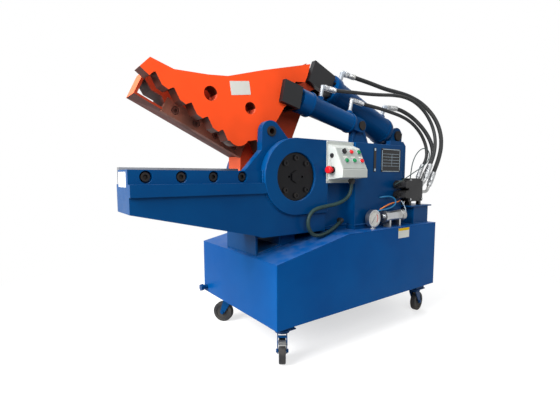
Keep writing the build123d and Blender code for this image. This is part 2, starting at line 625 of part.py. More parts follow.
def emergency_stop():
    """The mushroom head on the housing's front-facing side."""
    x = BOX_X[0]
    head = bar((x - 40, *STOP_AT), (x - 24, *STOP_AT), 20)
    head = fillet(head.edges().sort_by(Axis.X)[0], 7)
    return head + bar((x - 24, *STOP_AT), (x + 12, *STOP_AT), BUTTON_R)


def box_fittings():
    """The stop's collar, the blanking plug, the gland below the box and the conduit's elbow on the frame."""
    x = BOX_X[0]
    collar = bar((x - 7, *STOP_AT), (x, *STOP_AT), 18)
    collar -= bar((x - 8, *STOP_AT), (x, *STOP_AT), BUTTON_R + BUTTON_FIT)
    plug = bar((x - 5, -312, 1027), (x, -312, 1027), 12)
    gland = bar((340, -330, 905.3), (340, -330, 878), 15) + hexagon((340, -330, 898), (340, -330, 888), 34)
    gland -= bent_sheet(outline((-284, 900), (-389, 912), (-389, 930), (-284, 930)), *BOX_X)
    end = Vector(*CONDUIT[-1])
    bend = end + (end - Vector(*CONDUIT[-2])).normalized() * 24
    elbow = fuse(
        bar((bend.X, CHEEK_NEAR_Y, bend.Z), (bend.X, bend.Y, bend.Z), 15),
        Pos(bend) * Sphere(15),
        bar(bend, end, 13),
    )
    return group([collar, plug, gland, elbow & block((200, 500), (-400, CHEEK_NEAR_Y), (500, 900))])


CONDUIT = [
    (340, -330, 878), (340, -330, 832), (300, -321, 788), (238, -312, 768), (165, -306, 761), (90, -303, 748),
    (57, -303, 714), (51, -303, 669), (73, -303, 629), (115, -302, 607), (175, -298, 612), (232, -287, 626),
    (282, -274, 642), (322, -262, 660),
]


def nameplate():
    """The bare plate on the column, its level strip and their rivets."""
    y = COLUMN_Y[0]
    plate = block((630, 816), (y - 2, y), (944, 1084))
    strip = block((560, 580), (y - 4, y), (946, 1084))
    rivets = [disc(x, z, 4, y - 4, y - 2) for x in (637, 809) for z in (951, 1077)]
    return group([fuse(plate, *rivets), strip])


# The hydraulic power unit


def hydraulic_stand():
    """The blue sheet stand that lifts the valves above the tank."""
    outer = block((900, 1060), (-350, -207), (TANK_TOP_Z, STAND_TOP_Z - 8))
    inner = block((906, 1054), (-344, -213), (TANK_TOP_Z - 1, STAND_TOP_Z - 7))
    return outer - inner + block((850, 1082), (-362, -203), (STAND_TOP_Z - 8, STAND_TOP_Z))


def valve_manifold():
    """The ported block on four legs. The hose pipes leave its rear face."""
    body = block(MANIFOLD_X, MANIFOLD_Y, MANIFOLD_Z)
    body = chamfer(body.edges().filter_by(Axis.Z), 3)
    for x in (895, 1000):
        for y in (MANIFOLD_Y[0] + 14, MANIFOLD_Y[1] - 14):
            body += block((x - 11, x + 11), (y - 11, y + 11), (STAND_TOP_Z, MANIFOLD_Z[0]))
    for y in PORT_Y:
        for z in PORT_Z:
            body -= bar((MANIFOLD_X[1] - 12, y, z), (MANIFOLD_X[1], y, z), 12.05)
    return body


def solenoid_valves():
    """Two cartridge valves in the block's front face, with their coils, nuts and cable plugs."""
    x, y = MANIFOLD_X[0], -326
    valves = []
    for z in VALVE_ZS:
        body = block((x - 62, x), (y - 26, y + 26), (z - 24, z + 24))
        coil = bar((x - 62, y, z), (x - 122, y, z), 25)
        nut = hexagon((x - 122, y, z), (x - 138, y, z), 24)
        plug = block((x - 112, x - 78), (y - 58, y - 20), (z - 14, z + 14))
        valves.append(fuse(body, coil, nut, plug))
    return group(valves)


def hose_pipe_points(port_z, straight):
    """The corner and the two ends of a pipe that leaves the block rearwards and bends up."""
    x = MANIFOLD_X[1] + straight + 28
    dx, dz = math.cos(math.radians(PIPE_LEAN)), math.sin(math.radians(PIPE_LEAN))
    top = (x + 45 * dx, port_z + 45 * dz)
    return x, top, (top[0] + FERRULE_LENGTH * dx, top[1] + FERRULE_LENGTH * dz)


def ferrule_end(y, port_z):
    end = hose_pipe_points(port_z, PIPE_STRAIGHT[port_z])[2]
    return end[0], y, end[1]


def pipe_fittings():
    """The four steel pipes with their nuts and hose ferrules, and the cap on the spare port."""
    pieces = []
    for y in PORT_Y:
        for z in PORT_Z:
            corner_x, top, end = hose_pipe_points(z, PIPE_STRAIGHT[z])
            run = pipe([(MANIFOLD_X[1] - 12, y, z), (corner_x, y, z), (top[0], y, top[1])], 10, 40)
            nut = hexagon((MANIFOLD_X[1], y, z), (MANIFOLD_X[1] + 16, y, z), 34)
            ferrule = bar((top[0], y, top[1]), (end[0], y, end[1]), 16)
            pieces.append(fuse(run, nut, ferrule))
    x, y, z = MANIFOLD_X[1], -275, 842
    pieces.append(bar((x, y, z), (x + 16, y, z), 13))
    return group(pieces)


def pressure_gauge():
    x, y, z = 514, -340, 677
    case = disc(x, z, 50, y - 14, y + 14) - disc(x, z, 45, y - 14, y - 10)
    stem = bar((x, y, TANK_TOP_Z), (x, y, z - 40), 9) + hexagon((x, y, TANK_TOP_Z), (x, y, TANK_TOP_Z + 8), 27)
    needle = Pos(x, y - 10, z) * Rot(0, 40, 0) * Box(3, 2, 60)
    return case + stem + needle + disc(x, z, 6, y - 12, y)


def line_filter():
    """The silver pressure filter on two saddles."""
    y, z = -340, 681
    body = bar((612, y, z), (786, y, z), 30)
    body += bar((604, y, z), (628, y, z), 34)
    body += bar((764, y, z), (794, y, z), 34)
    body += bar((604, y, z), (590, y, z), 14)
    for x in (648, 742):
        body += block((x - 7, x + 7), (y - 22, y + 22), (TANK_TOP_Z, z))
    return body


def motor():
    """The electric motor of the pump: finned body, cowl, terminal box and feet."""
    x0, x1 = MOTOR_X
    y, z, r = MOTOR_Y, MOTOR_Z, MOTOR_R
    body = bar((x0, y, z), (x0 + 60, y, z), r) + bar((x0 + 60, y, z), (x1 - 12, y, z), r - 12)
    body += bar((x1 - 12, y, z), (x1, y, z), r)
    for i in range(24):
        a = math.radians(15 * i)
        if abs(math.sin(a)) > 0.99:
            continue
        fin = Pos(x0 + 60, y, z) * Rot(15 * i, 0, 0) * Pos(0, r - 14, -1.5)
        body += fin * Box(x1 - x0 - 72, 12, 3, align=(Align.MIN,) * 3)
    body += block((x0 + 110, x0 + 220), (y - 48, y + 48), (z + r - 22, z + r + 34))
    for side in (-1, 1):
        low, high = sorted((y + side * 50, y + side * 88))
        body += block((x0 + 80, x0 + 240), (low, high), (TANK_TOP_Z, TANK_TOP_Z + 12))
        low, high = sorted((y + side * 52, y + side * 64))
        body += block((x0 + 90, x0 + 230), (low, high), (TANK_TOP_Z, z - 30))
    return body


def pump():
    """The gear pump behind its bell housing, with the suction pipe into the tank."""
    x, y, z = MOTOR_X[1], MOTOR_Y, MOTOR_Z
    bell = bar((x, y, z), (x + 12, y, z), 82) + bar((x + 12, y, z), (x + 86, y, z), 64)
    body = block((x + 86, x + 178), (y - 44, y + 44), (z - 50, z + 50))
    body = fillet(body.edges().filter_by(Axis.X), 18)
    suction = bar((x + 130, y, TANK_TOP_Z), (x + 130, y, z - 40), 17)
    flange = bar((x + 130, y, TANK_TOP_Z), (x + 130, y, TANK_TOP_Z + 8), 34)
    return fuse(bell, body, suction, flange)


# The casters


def caster_frame(name):
    x, y, angle = CASTERS[name]
    return Pos(x, y, 0) * Rot(0, 0, angle)


def caster_mounts():
    """A pad and a plate under each corner of the tank, with the kingpin that holds the fork."""
    mounts = []
    for name in CASTERS:
        x, y, _ = CASTERS[name]
        pad = block((x - 44, x + 44), (y - 44, y + 44), (166, TANK_BOTTOM_Z))
        plate = block((x - 50, x + 50), (y - 50, y + 50), (160, 166))
        kingpin = bar((x, y, 140), (x, y, 160), 10) + hexagon((x, y, 136), (x, y, 145.5), 30)
        mounts.append(fuse(pad, plate, kingpin))
    return group(mounts)


def caster_fork(name):
    """The race and the two legs, drawn with the wheel trailing along X and the kingpin on Z."""
    braked = name == "front_near"
    race = bar((0, 0, 146), (0, 0, 159.5), 37.5) - bar((0, 0, 140), (0, 0, 160), 10.05)
    leg = outline((-27, 147), (27, 147), (52, 64), (25, 58), (-14, 118)) + Pos(CASTER_TRAIL, WHEEL_R) * Circle(14)
    if braked:
        leg += outline((0, 147), (62, 147), (90, 134), (90, 116), (45, 88), (10, 100))
    fork = race + slab(leg, -25, -20) + slab(leg, 20, 25)
    fork += bar((CASTER_TRAIL, -27, WHEEL_R), (CASTER_TRAIL, 27, WHEEL_R), AXLE_R)
    for side in (-1, 1):
        start, end = (CASTER_TRAIL, side * 25, WHEEL_R), (CASTER_TRAIL, side * 31, WHEEL_R)
        fork += hexagon(start, end, 18)
    if braked:
        fork += bar((BRAKE_AT[0], -25, BRAKE_AT[1]), (BRAKE_AT[0], 25, BRAKE_AT[1]), BRAKE_PIN_R)
        fork += block((50, 64), (-25, 25), (140, 147))
    return caster_frame(name) * fork


def wheel(name):
    """A tyre on a solid hub that runs on the fork's axle."""
    centre = (CASTER_TRAIL, WHEEL_R)
    half = WHEEL_WIDTH / 2
    tyre = disc(*centre, WHEEL_R, -half, half)
    tyre = fillet(tyre.edges().filter_by(GeomType.CIRCLE), 6)
    for y0, y1 in ((-half, -half + 5), (half - 5, half)):
        tyre -= disc(*centre, 42, y0, y1) - disc(*centre, 17, y0, y1)
    hub = disc(*centre, 15, -19, 19)
    bore = disc(*centre, AXLE_R + 0.05, -20, 20)
    return caster_frame(name) * (tyre + hub - bore)


def brake_pedal():
    """The tread of the near front caster's brake, hinged on a pin across the fork."""
    x, z = BRAKE_AT
    hub = disc(x, z, 9, -19, 19) - disc(x, z, BRAKE_PIN_R + 0.05, -19, 19)
    shape = outline((x + 4, z + 2), (x + 14, z + 12), (x + 36, z + 4), (x + 34, z - 3), (x + 8, z - 4))
    tread = slab(shape, -18, 18) - disc(x, z, 8, -19, 19)
    for i in range(2):
        tread += Pos(x + 20 + 9 * i, 0, z + 9.6 - 3.4 * i) * Box(3, 32, 3)
    return caster_frame("front_near") * (hub + tread)


# The hoses and the cable


def hose_points():
    """Each hose from its cylinder's elbow to its ferrule on the valve block."""
    low, high = PORT_Z[1], PORT_Z[0]
    near, far = PORT_Y
    up = (math.cos(math.radians(PIPE_LEAN)), math.sin(math.radians(PIPE_LEAN)))

    def leave(ram, distance, corner, out):
        return ram.elbow_end(distance, corner, out), ram.elbow_end(distance, corner, out, 105)

    def finish(y, port_z, rise):
        x, _, z = ferrule_end(y, port_z)
        return [(x + rise * up[0], y, z + rise * up[1]), (x, y, z)]

    return {
        "main_head_hose": [
            *leave(MAIN_RAM, 590, 162, MAIN_HEAD_OUT), (841, -36, 1540), (957, -58, 1516), (1072, -84, 1504),
            (1165, -116, 1484), (1262, -160, 1434), (1330, -212, 1342), (1344, -254, 1236), (1312, -284, 1132),
            (1254, -300, 1036), *finish(near, low, 62),
        ],
        "main_rear_hose": [
            *leave(MAIN_RAM, 130, 168, MAIN_REAR_OUT), (1168, -70, 1382), (1220, -106, 1342),
            (1262, -144, 1286), (1292, -182, 1220), (1304, -214, 1148), (1290, -236, 1078), (1240, -245, 1008),
            *finish(far, low, 62),
        ],
        "clamp_head_hose": [
            *leave(CLAMP_RAM, 322, 128, CLAMP_HEAD_OUT), (524, -153, 1420), (645, -158, 1425),
            (771, -165, 1434), (892, -174, 1447), (1004, -187, 1447), (1096, -205, 1422), (1170, -227, 1370),
            (1218, -250, 1298), (1234, -272, 1222), (1224, -290, 1142), (1190, -302, 1062),
            *finish(near, high, 50),
        ],
        "clamp_rear_hose": [
            *leave(CLAMP_RAM, 78, 140, CLAMP_REAR_OUT), (716, -153, 1357), (800, -157, 1350),
            (885, -164, 1338), (966, -173, 1325), (1046, -185, 1302), (1120, -199, 1260), (1180, -213, 1200),
            (1210, -227, 1132), (1208, -238, 1070), (1178, -245, 1018), *finish(far, high, 40),
        ],
    }


def save():
    os.makedirs("parts", exist_ok=True)
    for name, shape in parts.items():
        export_step(Pos(-MIDDLE_X, 0, 0) * shape, f"parts/{name}.step")


for make in (
    tank, tank_top, tank_fittings, lower_jaw, lower_blade, ring_plate, inner_cheek, far_cheek, frame_base,
    rear_column, clamp_post, rear_lugs, socket_screws, pivot_shaft, hub_discs, frame_pins, main_jaw, upper_blade,
    upper_blade_screws, hold_down_jaw, main_barrel, main_rod, main_rod_end, clamp_barrel, clamp_rod, clamp_rod_end,
    control_box, control_panel, selector, emergency_stop, box_fittings, nameplate, hydraulic_stand, valve_manifold,
    solenoid_valves, pipe_fittings, pressure_gauge, line_filter, motor, pump, caster_mounts, brake_pedal,
):
    parts[make.__name__] = make()

parts["button_top_middle"] = button(1, 0)
parts["button_top_right"] = button(2, 0)
parts["button_low_left"] = button(0, 1)
parts["button_low_middle"] = button(1, 1)
parts["button_low_right"] = button(2, 1)

for corner in CASTERS:
    parts[f"caster_fork_{corner}"] = caster_fork(corner)
    parts[f"wheel_{corner}"] = wheel(corner)

for hose, route in hose_points().items():
    parts[hose] = tube(hose, route, MAIN_HOSE_R if hose.startswith("main") else CLAMP_HOSE_R)
parts["conduit"] = tube("conduit", CONDUIT, CONDUIT_R)

save()
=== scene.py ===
# %% [markdown]
# # A hydraulic metal shear
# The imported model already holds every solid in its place. This scene looks at it as the photograph does, gives
# each part its paint, steel or rubber, and adds what only a close look shows: weld beads, hose cuffs, dial
# marks and worn edges.

# %% Load the frame
import math

import bmesh
import bpy
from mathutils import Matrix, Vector


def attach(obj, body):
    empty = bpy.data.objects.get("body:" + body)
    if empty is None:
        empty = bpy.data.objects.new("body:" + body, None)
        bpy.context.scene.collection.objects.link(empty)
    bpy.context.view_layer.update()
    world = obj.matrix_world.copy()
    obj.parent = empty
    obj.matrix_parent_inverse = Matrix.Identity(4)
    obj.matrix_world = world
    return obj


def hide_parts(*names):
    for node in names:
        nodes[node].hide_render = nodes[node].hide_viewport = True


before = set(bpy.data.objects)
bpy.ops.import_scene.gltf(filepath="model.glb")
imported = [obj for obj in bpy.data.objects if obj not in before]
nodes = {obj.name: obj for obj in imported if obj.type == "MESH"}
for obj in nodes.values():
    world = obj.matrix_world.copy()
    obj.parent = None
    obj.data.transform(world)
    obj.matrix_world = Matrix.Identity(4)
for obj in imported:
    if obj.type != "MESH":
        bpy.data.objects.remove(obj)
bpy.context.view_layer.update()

# Every length that was read from the photograph runs from the pivot shaft, so this is the shaft's place.
PIVOT = Vector((-0.18843, 0.0, 0.916))


def at(x, y, z):
    """A point in metres from millimetres counted from the shaft, the machine's middle and the floor."""
    return Vector((x / 1000 + PIVOT.x, y / 1000, z / 1000))


# The pins of the two cylinders, low end and high end.
MAIN_LOW, MAIN_HIGH = (1079, -5, 1203), (362, -5, 1492)
CLAMP_LOW, CLAMP_HIGH = (570, -150, 1222), (25, -150, 1342)

# %% [markdown]
# ## Camera
# The vertical edges of the tank lean very little, and its top and bottom edges meet far to the left and right.
# Those lines give the viewpoint: a wide lens about 2 m from the shaft and at its height, turned 36.5 degrees
# from square and tipped 5.4 degrees down.

# %% Camera
camera_data = bpy.data.cameras.new("camera")
camera_data.sensor_width, camera_data.lens = 36, 23.14
camera_data.clip_start = 0.05
camera = bpy.data.objects.new("camera", camera_data)
bpy.context.collection.objects.link(camera)
camera.location = (-1.32923, -1.6772, 0.920)
turn, dip = math.radians(36.5), math.radians(5.40)
looking = Vector((math.sin(turn) * math.cos(dip), math.cos(turn) * math.cos(dip), -math.sin(dip)))
camera.rotation_euler = looking.to_track_quat("-Z", "Y").to_euler()
bpy.context.scene.camera = camera
print("camera", round((camera.location - PIVOT).length, 2), "m from the shaft")

# %% [markdown]
# ## Light
# The photograph was cut out on white. The faces that look to the left are brighter than the operator's side,
# so the strongest lamp stands on the left. The world and the floor are white only for what the camera, gloss
# and glass see. For all other light the world is dim and the floor is grey, so the paint stays deep, and the
# floor keeps a faint shadow.

# %% Lamps, world and floor


def area_light(name, place, aim, size, power):
    data = bpy.data.lights.new(name, "AREA")
    data.shape, data.size, data.energy = "SQUARE", size, power
    lamp = bpy.data.objects.new(name, data)
    lamp.location = place
    lamp.rotation_euler = (Vector(aim) - Vector(place)).to_track_quat("-Z", "Y").to_euler()
    bpy.context.collection.objects.link(lamp)


area_light("key", (-4.6, -0.4, 3.2), (0, 0, 0.8), 3.0, 560)
area_light("near", (-1.5, -3.2, 2.8), (0, 0, 0.7), 2.0, 92)
area_light("top", (0.3, 0.2, 4.6), (0, 0, 0.8), 3.0, 100)
area_light("rear", (3.5, 3.6, 3.0), (0, 0, 0.8), 3.0, 110)

scene = bpy.context.scene
scene.view_settings.view_transform = "Standard"


def seen_directly(tree):
    """1 for what the camera, gloss and glass see, and 0 for light on its way to other surfaces."""
    path = tree.nodes.new("ShaderNodeLightPath")
    gloss = tree.nodes.new("ShaderNodeMath")
    glass = tree.nodes.new("ShaderNodeMath")
    gloss.operation = glass.operation = "MAXIMUM"
    tree.links.new(path.outputs["Is Camera Ray"], gloss.inputs[0])
    tree.links.new(path.outputs["Is Glossy Ray"], gloss.inputs[1])
    tree.links.new(gloss.outputs[0], glass.inputs[0])
    tree.links.new(path.outputs["Is Transmission Ray"], glass.inputs[1])
    return glass.outputs[0]


world = bpy.data.worlds.new("studio")
world.use_nodes = True
scene.world = world
sky = world.node_tree
fill = sky.nodes["Background"]
fill.inputs["Color"].default_value, fill.inputs["Strength"].default_value = (1, 1, 1, 1), 0.22
white = sky.nodes.new("ShaderNodeBackground")
white.inputs["Color"].default_value, white.inputs["Strength"].default_value = (1, 1, 1, 1), 1.0
backdrop = sky.nodes.new("ShaderNodeMixShader")
sky.links.new(seen_directly(sky), backdrop.inputs[0])
sky.links.new(fill.outputs[0], backdrop.inputs[1])
sky.links.new(white.outputs[0], backdrop.inputs[2])
sky.links.new(backdrop.outputs[0], sky.nodes["World Output"].inputs[0])


def between(tree, amount, first, last):
    """A value that runs from first to last while amount runs from 0 to 1."""
    node = tree.nodes.new("ShaderNodeMapRange")
    node.inputs["To Min"].default_value, node.inputs["To Max"].default_value = first, last
    tree.links.new(amount, node.inputs["Value"])
    return node.outputs["Result"]


FLOOR_HALF = 30
# The faint shadow is whole up to this many metres from the middle, and gone at the second number.
SHADOW_WHOLE, SHADOW_GONE = 1.0, 2.6
floor_mesh = bpy.data.meshes.new("floor")
floor_corners = [(x * FLOOR_HALF, y * FLOOR_HALF, 0) for x, y in ((-1, -1), (1, -1), (1, 1), (-1, 1))]
floor_mesh.from_pydata(floor_corners, [], [(0, 1, 2, 3)])
floor = bpy.data.objects.new("floor", floor_mesh)
bpy.context.collection.objects.link(floor)
floor_paint = bpy.data.materials.new("white floor")
floor_paint.use_nodes = True
floor_mesh.materials.append(floor_paint)
ground = floor_paint.node_tree
bounce = ground.nodes["Principled BSDF"]
bounce.inputs["Base Color"].default_value = (0.30, 0.30, 0.30, 1)
bounce.inputs["Roughness"].default_value = 1.0
bounce.inputs["Specular IOR Level"].default_value = 0.0
from_middle = ground.nodes.new("ShaderNodeVectorMath")
from_middle.operation = "LENGTH"
ground.links.new(ground.nodes.new("ShaderNodeTexCoord").outputs["Object"], from_middle.inputs[0])
fade = ground.nodes.new("ShaderNodeMapRange")
fade.interpolation_type = "SMOOTHSTEP"
fade.inputs["From Min"].default_value, fade.inputs["From Max"].default_value = SHADOW_WHOLE, SHADOW_GONE
ground.links.new(from_middle.outputs["Value"], fade.inputs["Value"])
glow, shade = ground.nodes.new("ShaderNodeEmission"), ground.nodes.new("ShaderNodeBsdfDiffuse")
ground.links.new(between(ground, fade.outputs["Result"], 0.62, 1.0), glow.inputs["Strength"])
ground.links.new(between(ground, fade.outputs["Result"], 0.42, 0.0), shade.inputs["Color"])
together, floor_mix = ground.nodes.new("ShaderNodeAddShader"), ground.nodes.new("ShaderNodeMixShader")
ground.links.new(glow.outputs[0], together.inputs[0])
ground.links.new(shade.outputs[0], together.inputs[1])
ground.links.new(seen_directly(ground), floor_mix.inputs[0])
ground.links.new(bounce.outputs[0], floor_mix.inputs[1])
ground.links.new(together.outputs[0], floor_mix.inputs[2])
ground.links.new(floor_mix.outputs[0], ground.nodes["Material Output"].inputs["Surface"])
print("4 lamps, a white world and a floor with a faint shadow")

# %% [markdown]
# ## Materials
# Colours are written as they look in the photograph, from 0 to 255, and turned into Blender's linear light.
# The effects are shader groups, so that each material only sets its own amounts. "sprayed paint" has the tone,
# dust and chips of a coat, and "fine grain" the speckle and stain of a bare surface. The other three choose a
# colour by place: "jaw faces" paints light and shade by where a face looks, lighter on the ends and dark
# underneath, "far from the ram" by the distance from a cylinder's axis, and "painted label" inside a small box.

# %% Colour helpers and shader groups


def tone(red, green, blue):
    def linear(c):
        c /= 255
        return c / 12.92 if c <= 0.04045 else ((c + 0.055) / 1.055) ** 2.4

    return (linear(red), linear(green), linear(blue), 1.0)


def new_group(name, inputs, outputs):
    group = bpy.data.node_groups.new(name, "ShaderNodeTree")
    kinds = {"c": "NodeSocketColor", "f": "NodeSocketFloat", "v": "NodeSocketVector"}
    for label, kind, value in inputs:
        socket = group.interface.new_socket(label, in_out="INPUT", socket_type=kinds[kind])
        socket.default_value = value
    for label, kind in outputs:
        group.interface.new_socket(label, in_out="OUTPUT", socket_type=kinds[kind])
    return group, group.nodes.new("NodeGroupInput"), group.nodes.new("NodeGroupOutput")


def noise(tree, scale, detail=3.0, roughness=0.55):
    node = tree.nodes.new("ShaderNodeTexNoise")
    node.inputs["Scale"].default_value = scale
    node.inputs["Detail"].default_value = detail
    node.inputs["Roughness"].default_value = roughness
    return node


def math_node(tree, operation, a=None, b=None):
    node = tree.nodes.new("ShaderNodeMath")
    node.operation = operation
    for slot, value in zip(node.inputs, (a, b)):
        if isinstance(value, (int, float)):
            slot.default_value = value
        elif value is not None:
            tree.links.new(value, slot)
    return node.outputs[0]


def ramp(tree, value, low, high):
    node = tree.nodes.new("ShaderNodeMapRange")
    node.interpolation_type = "SMOOTHSTEP"
    node.inputs["From Min"].default_value, node.inputs["From Max"].default_value = low, high
    tree.links.new(value, node.inputs["Value"])
    return node.outputs["Result"]


def mix_colour(tree, factor, a, b, blend="MIX"):
    node = tree.nodes.new("ShaderNodeMix")
    node.data_type, node.blend_type = "RGBA", blend
    for slot, value in ((node.inputs[0], factor), (node.inputs[6], a), (node.inputs[7], b)):
        if isinstance(value, (int, float, tuple)):
            slot.default_value = value
        else:
            tree.links.new(value, slot)
    return node.outputs[2]


wear, wear_in, wear_out = new_group(
    "sprayed paint",
    [("Paint", "c", (0, 0, 1, 1)), ("Primer", "c", (0.3, 0.3, 0.3, 1)), ("Dust", "f", 0.3), ("Chips", "f", 0.3),
     ("Gloss", "f", 0.3)],
    [("Colour", "c"), ("Roughness", "f"), ("Height", "f")],
)
place = wear.nodes.new("ShaderNodeTexCoord").outputs["Object"]
facing = wear.nodes.new("ShaderNodeNewGeometry").outputs["Normal"]
up = wear.nodes.new("ShaderNodeSeparateXYZ")
wear.links.new(facing, up.inputs[0])
broad, fine, specks, peel = noise(wear, 2.2), noise(wear, 14, 5), noise(wear, 55, 2, 0.7), noise(wear, 420, 1)
for node in (broad, fine, specks, peel):
    wear.links.new(place, node.inputs["Vector"])
cloud = ramp(wear, broad.outputs["Fac"], 0.32, 0.68)
darker = mix_colour(wear, 1.0, wear_in.outputs["Paint"], (0.74, 0.78, 0.84, 1), "MULTIPLY")
body_colour = mix_colour(wear, cloud, darker, wear_in.outputs["Paint"])
lying = ramp(wear, up.outputs["Z"], 0.35, 0.95)
dust_patch = math_node(wear, "MULTIPLY", lying, ramp(wear, fine.outputs["Fac"], 0.38, 0.66))
dust_amount = math_node(wear, "MULTIPLY", dust_patch, wear_in.outputs["Dust"])
dusty = mix_colour(wear, dust_amount, body_colour, tone(176, 172, 160))
chip_edge = ramp(wear, specks.outputs["Fac"], 0.73, 0.76)
chip_zone = math_node(wear, "MULTIPLY", chip_edge, ramp(wear, fine.outputs["Fac"], 0.52, 0.62))
chip_amount = math_node(wear, "MULTIPLY", chip_zone, wear_in.outputs["Chips"])
chipped = mix_colour(wear, chip_amount, dusty, wear_in.outputs["Primer"])
wear.links.new(chipped, wear_out.inputs["Colour"])
dull = math_node(wear, "MULTIPLY", dust_amount, 0.5)
streak = math_node(wear, "MULTIPLY", ramp(wear, fine.outputs["Fac"], 0.3, 0.8), 0.10)
rough = math_node(wear, "ADD", math_node(wear, "ADD", wear_in.outputs["Gloss"], dull), streak)
wear.links.new(rough, wear_out.inputs["Roughness"])
bumps = math_node(wear, "SUBTRACT", math_node(wear, "MULTIPLY", peel.outputs["Fac"], 0.5), chip_amount)
wear.links.new(bumps, wear_out.inputs["Height"])

grain, grain_in, grain_out = new_group(
    "fine grain",
    [("Colour", "c", (0.5, 0.5, 0.5, 1)), ("Stain", "c", (0.2, 0.2, 0.2, 1)), ("Amount", "f", 0.4),
     ("Scale", "f", 60.0), ("Roughness", "f", 0.4)],
    [("Colour", "c"), ("Roughness", "f"), ("Height", "f")],
)
place = grain.nodes.new("ShaderNodeTexCoord").outputs["Object"]
speckle, patch = noise(grain, 60, 3, 0.7), noise(grain, 9, 4)
grain.links.new(grain_in.outputs["Scale"], speckle.inputs["Scale"])
for node in (speckle, patch):
    grain.links.new(place, node.inputs["Vector"])
patches = ramp(grain, patch.outputs["Fac"], 0.40, 0.70)
stain = math_node(grain, "MULTIPLY", patches, grain_in.outputs["Amount"])
stained = mix_colour(grain, stain, grain_in.outputs["Colour"], grain_in.outputs["Stain"])
grain.links.new(stained, grain_out.inputs["Colour"])
rougher = math_node(grain, "MULTIPLY", patches, 0.2)
grain.links.new(math_node(grain, "ADD", grain_in.outputs["Roughness"], rougher), grain_out.inputs["Roughness"])
grain.links.new(speckle.outputs["Fac"], grain_out.inputs["Height"])

# Painted light and shade: end faces get a lighter, lit colour and faces that look down a dark, shaded one.
faces, faces_in, faces_out = new_group(
    "jaw lit and shaded faces",
    [("Sides", "c", (1, 0, 0, 1)), ("Lit Ends", "c", (1, 0, 0, 1)), ("Shaded Under", "c", (1, 0, 0, 1))],
    [("Colour", "c")],
)
turned = faces.nodes.new("ShaderNodeSeparateXYZ")
faces.links.new(faces.nodes.new("ShaderNodeTexCoord").outputs["Normal"], turned.inputs[0])
flat = ramp(faces, math_node(faces, "ABSOLUTE", turned.outputs["Y"]), 0.6, 0.8)
shaded_below = ramp(faces, math_node(faces, "MULTIPLY", turned.outputs["Z"], -1.0), -0.12, 0.12)
rim = mix_colour(faces, shaded_below, faces_in.outputs["Lit Ends"], faces_in.outputs["Shaded Under"])
faces.links.new(mix_colour(faces, flat, rim, faces_in.outputs["Sides"]), faces_out.inputs["Colour"])

far_out, far_in, far_result = new_group(
    "far from the ram",
    [("Paint", "c", (0, 0, 1, 1)), ("Fitting", "c", (0.6, 0.6, 0.6, 1)), ("Axis Point", "v", (0, 0, 0)),
     ("Axis", "v", (1, 0, 0)), ("Radius", "f", 0.1)],
    [("Colour", "c"), ("Mask", "f")],
)
offset = far_out.nodes.new("ShaderNodeVectorMath")
offset.operation = "SUBTRACT"
far_out.links.new(far_out.nodes.new("ShaderNodeTexCoord").outputs["Object"], offset.inputs[0])
far_out.links.new(far_in.outputs["Axis Point"], offset.inputs[1])
across = far_out.nodes.new("ShaderNodeVectorMath")
across.operation = "CROSS_PRODUCT"
far_out.links.new(offset.outputs[0], across.inputs[0])
far_out.links.new(far_in.outputs["Axis"], across.inputs[1])
distance = far_out.nodes.new("ShaderNodeVectorMath")
distance.operation = "LENGTH"
far_out.links.new(across.outputs[0], distance.inputs[0])
beyond = math_node(far_out, "GREATER_THAN", distance.outputs["Value"], far_in.outputs["Radius"])
far_out.links.new(beyond, far_result.inputs["Mask"])
shown = mix_colour(far_out, beyond, far_in.outputs["Paint"], far_in.outputs["Fitting"])
far_out.links.new(shown, far_result.inputs["Colour"])

label, label_in, label_out = new_group(
    "painted label",
    [("Paint", "c", (0, 0, 1, 1)), ("Label", "c", (0.8, 0.8, 0.8, 1)), ("Band", "c", (0.8, 0.6, 0, 1)),
     ("Centre", "v", (0, 0, 0)), ("Half Size", "v", (0.05, 0.02, 0.03)), ("Band Height", "f", 0.01)],
    [("Colour", "c")],
)
shift = label.nodes.new("ShaderNodeVectorMath")
shift.operation = "SUBTRACT"
label.links.new(label.nodes.new("ShaderNodeTexCoord").outputs["Object"], shift.inputs[0])
label.links.new(label_in.outputs["Centre"], shift.inputs[1])
spread, half = label.nodes.new("ShaderNodeSeparateXYZ"), label.nodes.new("ShaderNodeSeparateXYZ")
label.links.new(shift.outputs[0], spread.inputs[0])
label.links.new(label_in.outputs["Half Size"], half.inputs[0])
inside = None
for axis in "XYZ":
    near = math_node(label, "LESS_THAN", math_node(label, "ABSOLUTE", spread.outputs[axis]), half.outputs[axis])
    inside = near if inside is None else math_node(label, "MULTIPLY", inside, near)
band_from = math_node(label, "SUBTRACT", half.outputs["Z"], label_in.outputs["Band Height"])
in_band = math_node(label, "GREATER_THAN", spread.outputs["Z"], band_from)
two_tone = mix_colour(label, in_band, label_in.outputs["Label"], label_in.outputs["Band"])
label.links.new(mix_colour(label, inside, label_in.outputs["Paint"], two_tone), label_out.inputs["Colour"])
print(len(bpy.data.node_groups), "shader groups")

# %% [markdown]
# ## Finishes
# Sprayed paint is a coat over primer, so paint() sets both colours and how much dust and chipping they have.
# Bare metal has no coat: metal() sets its grain and stain. matt() is the same for plastic, rubber, card and
# the upper blade's rusty steel, which do not shine like metal. The blade's dark brown is partly painted shade.

# %% Material makers


def use_group(tree, group, values):
    """Puts a shader group into a material and sets its inputs."""
    node = tree.nodes.new("ShaderNodeGroup")
    node.node_tree = group
    for label, value in values.items():
        node.inputs[label].default_value = value
    return node


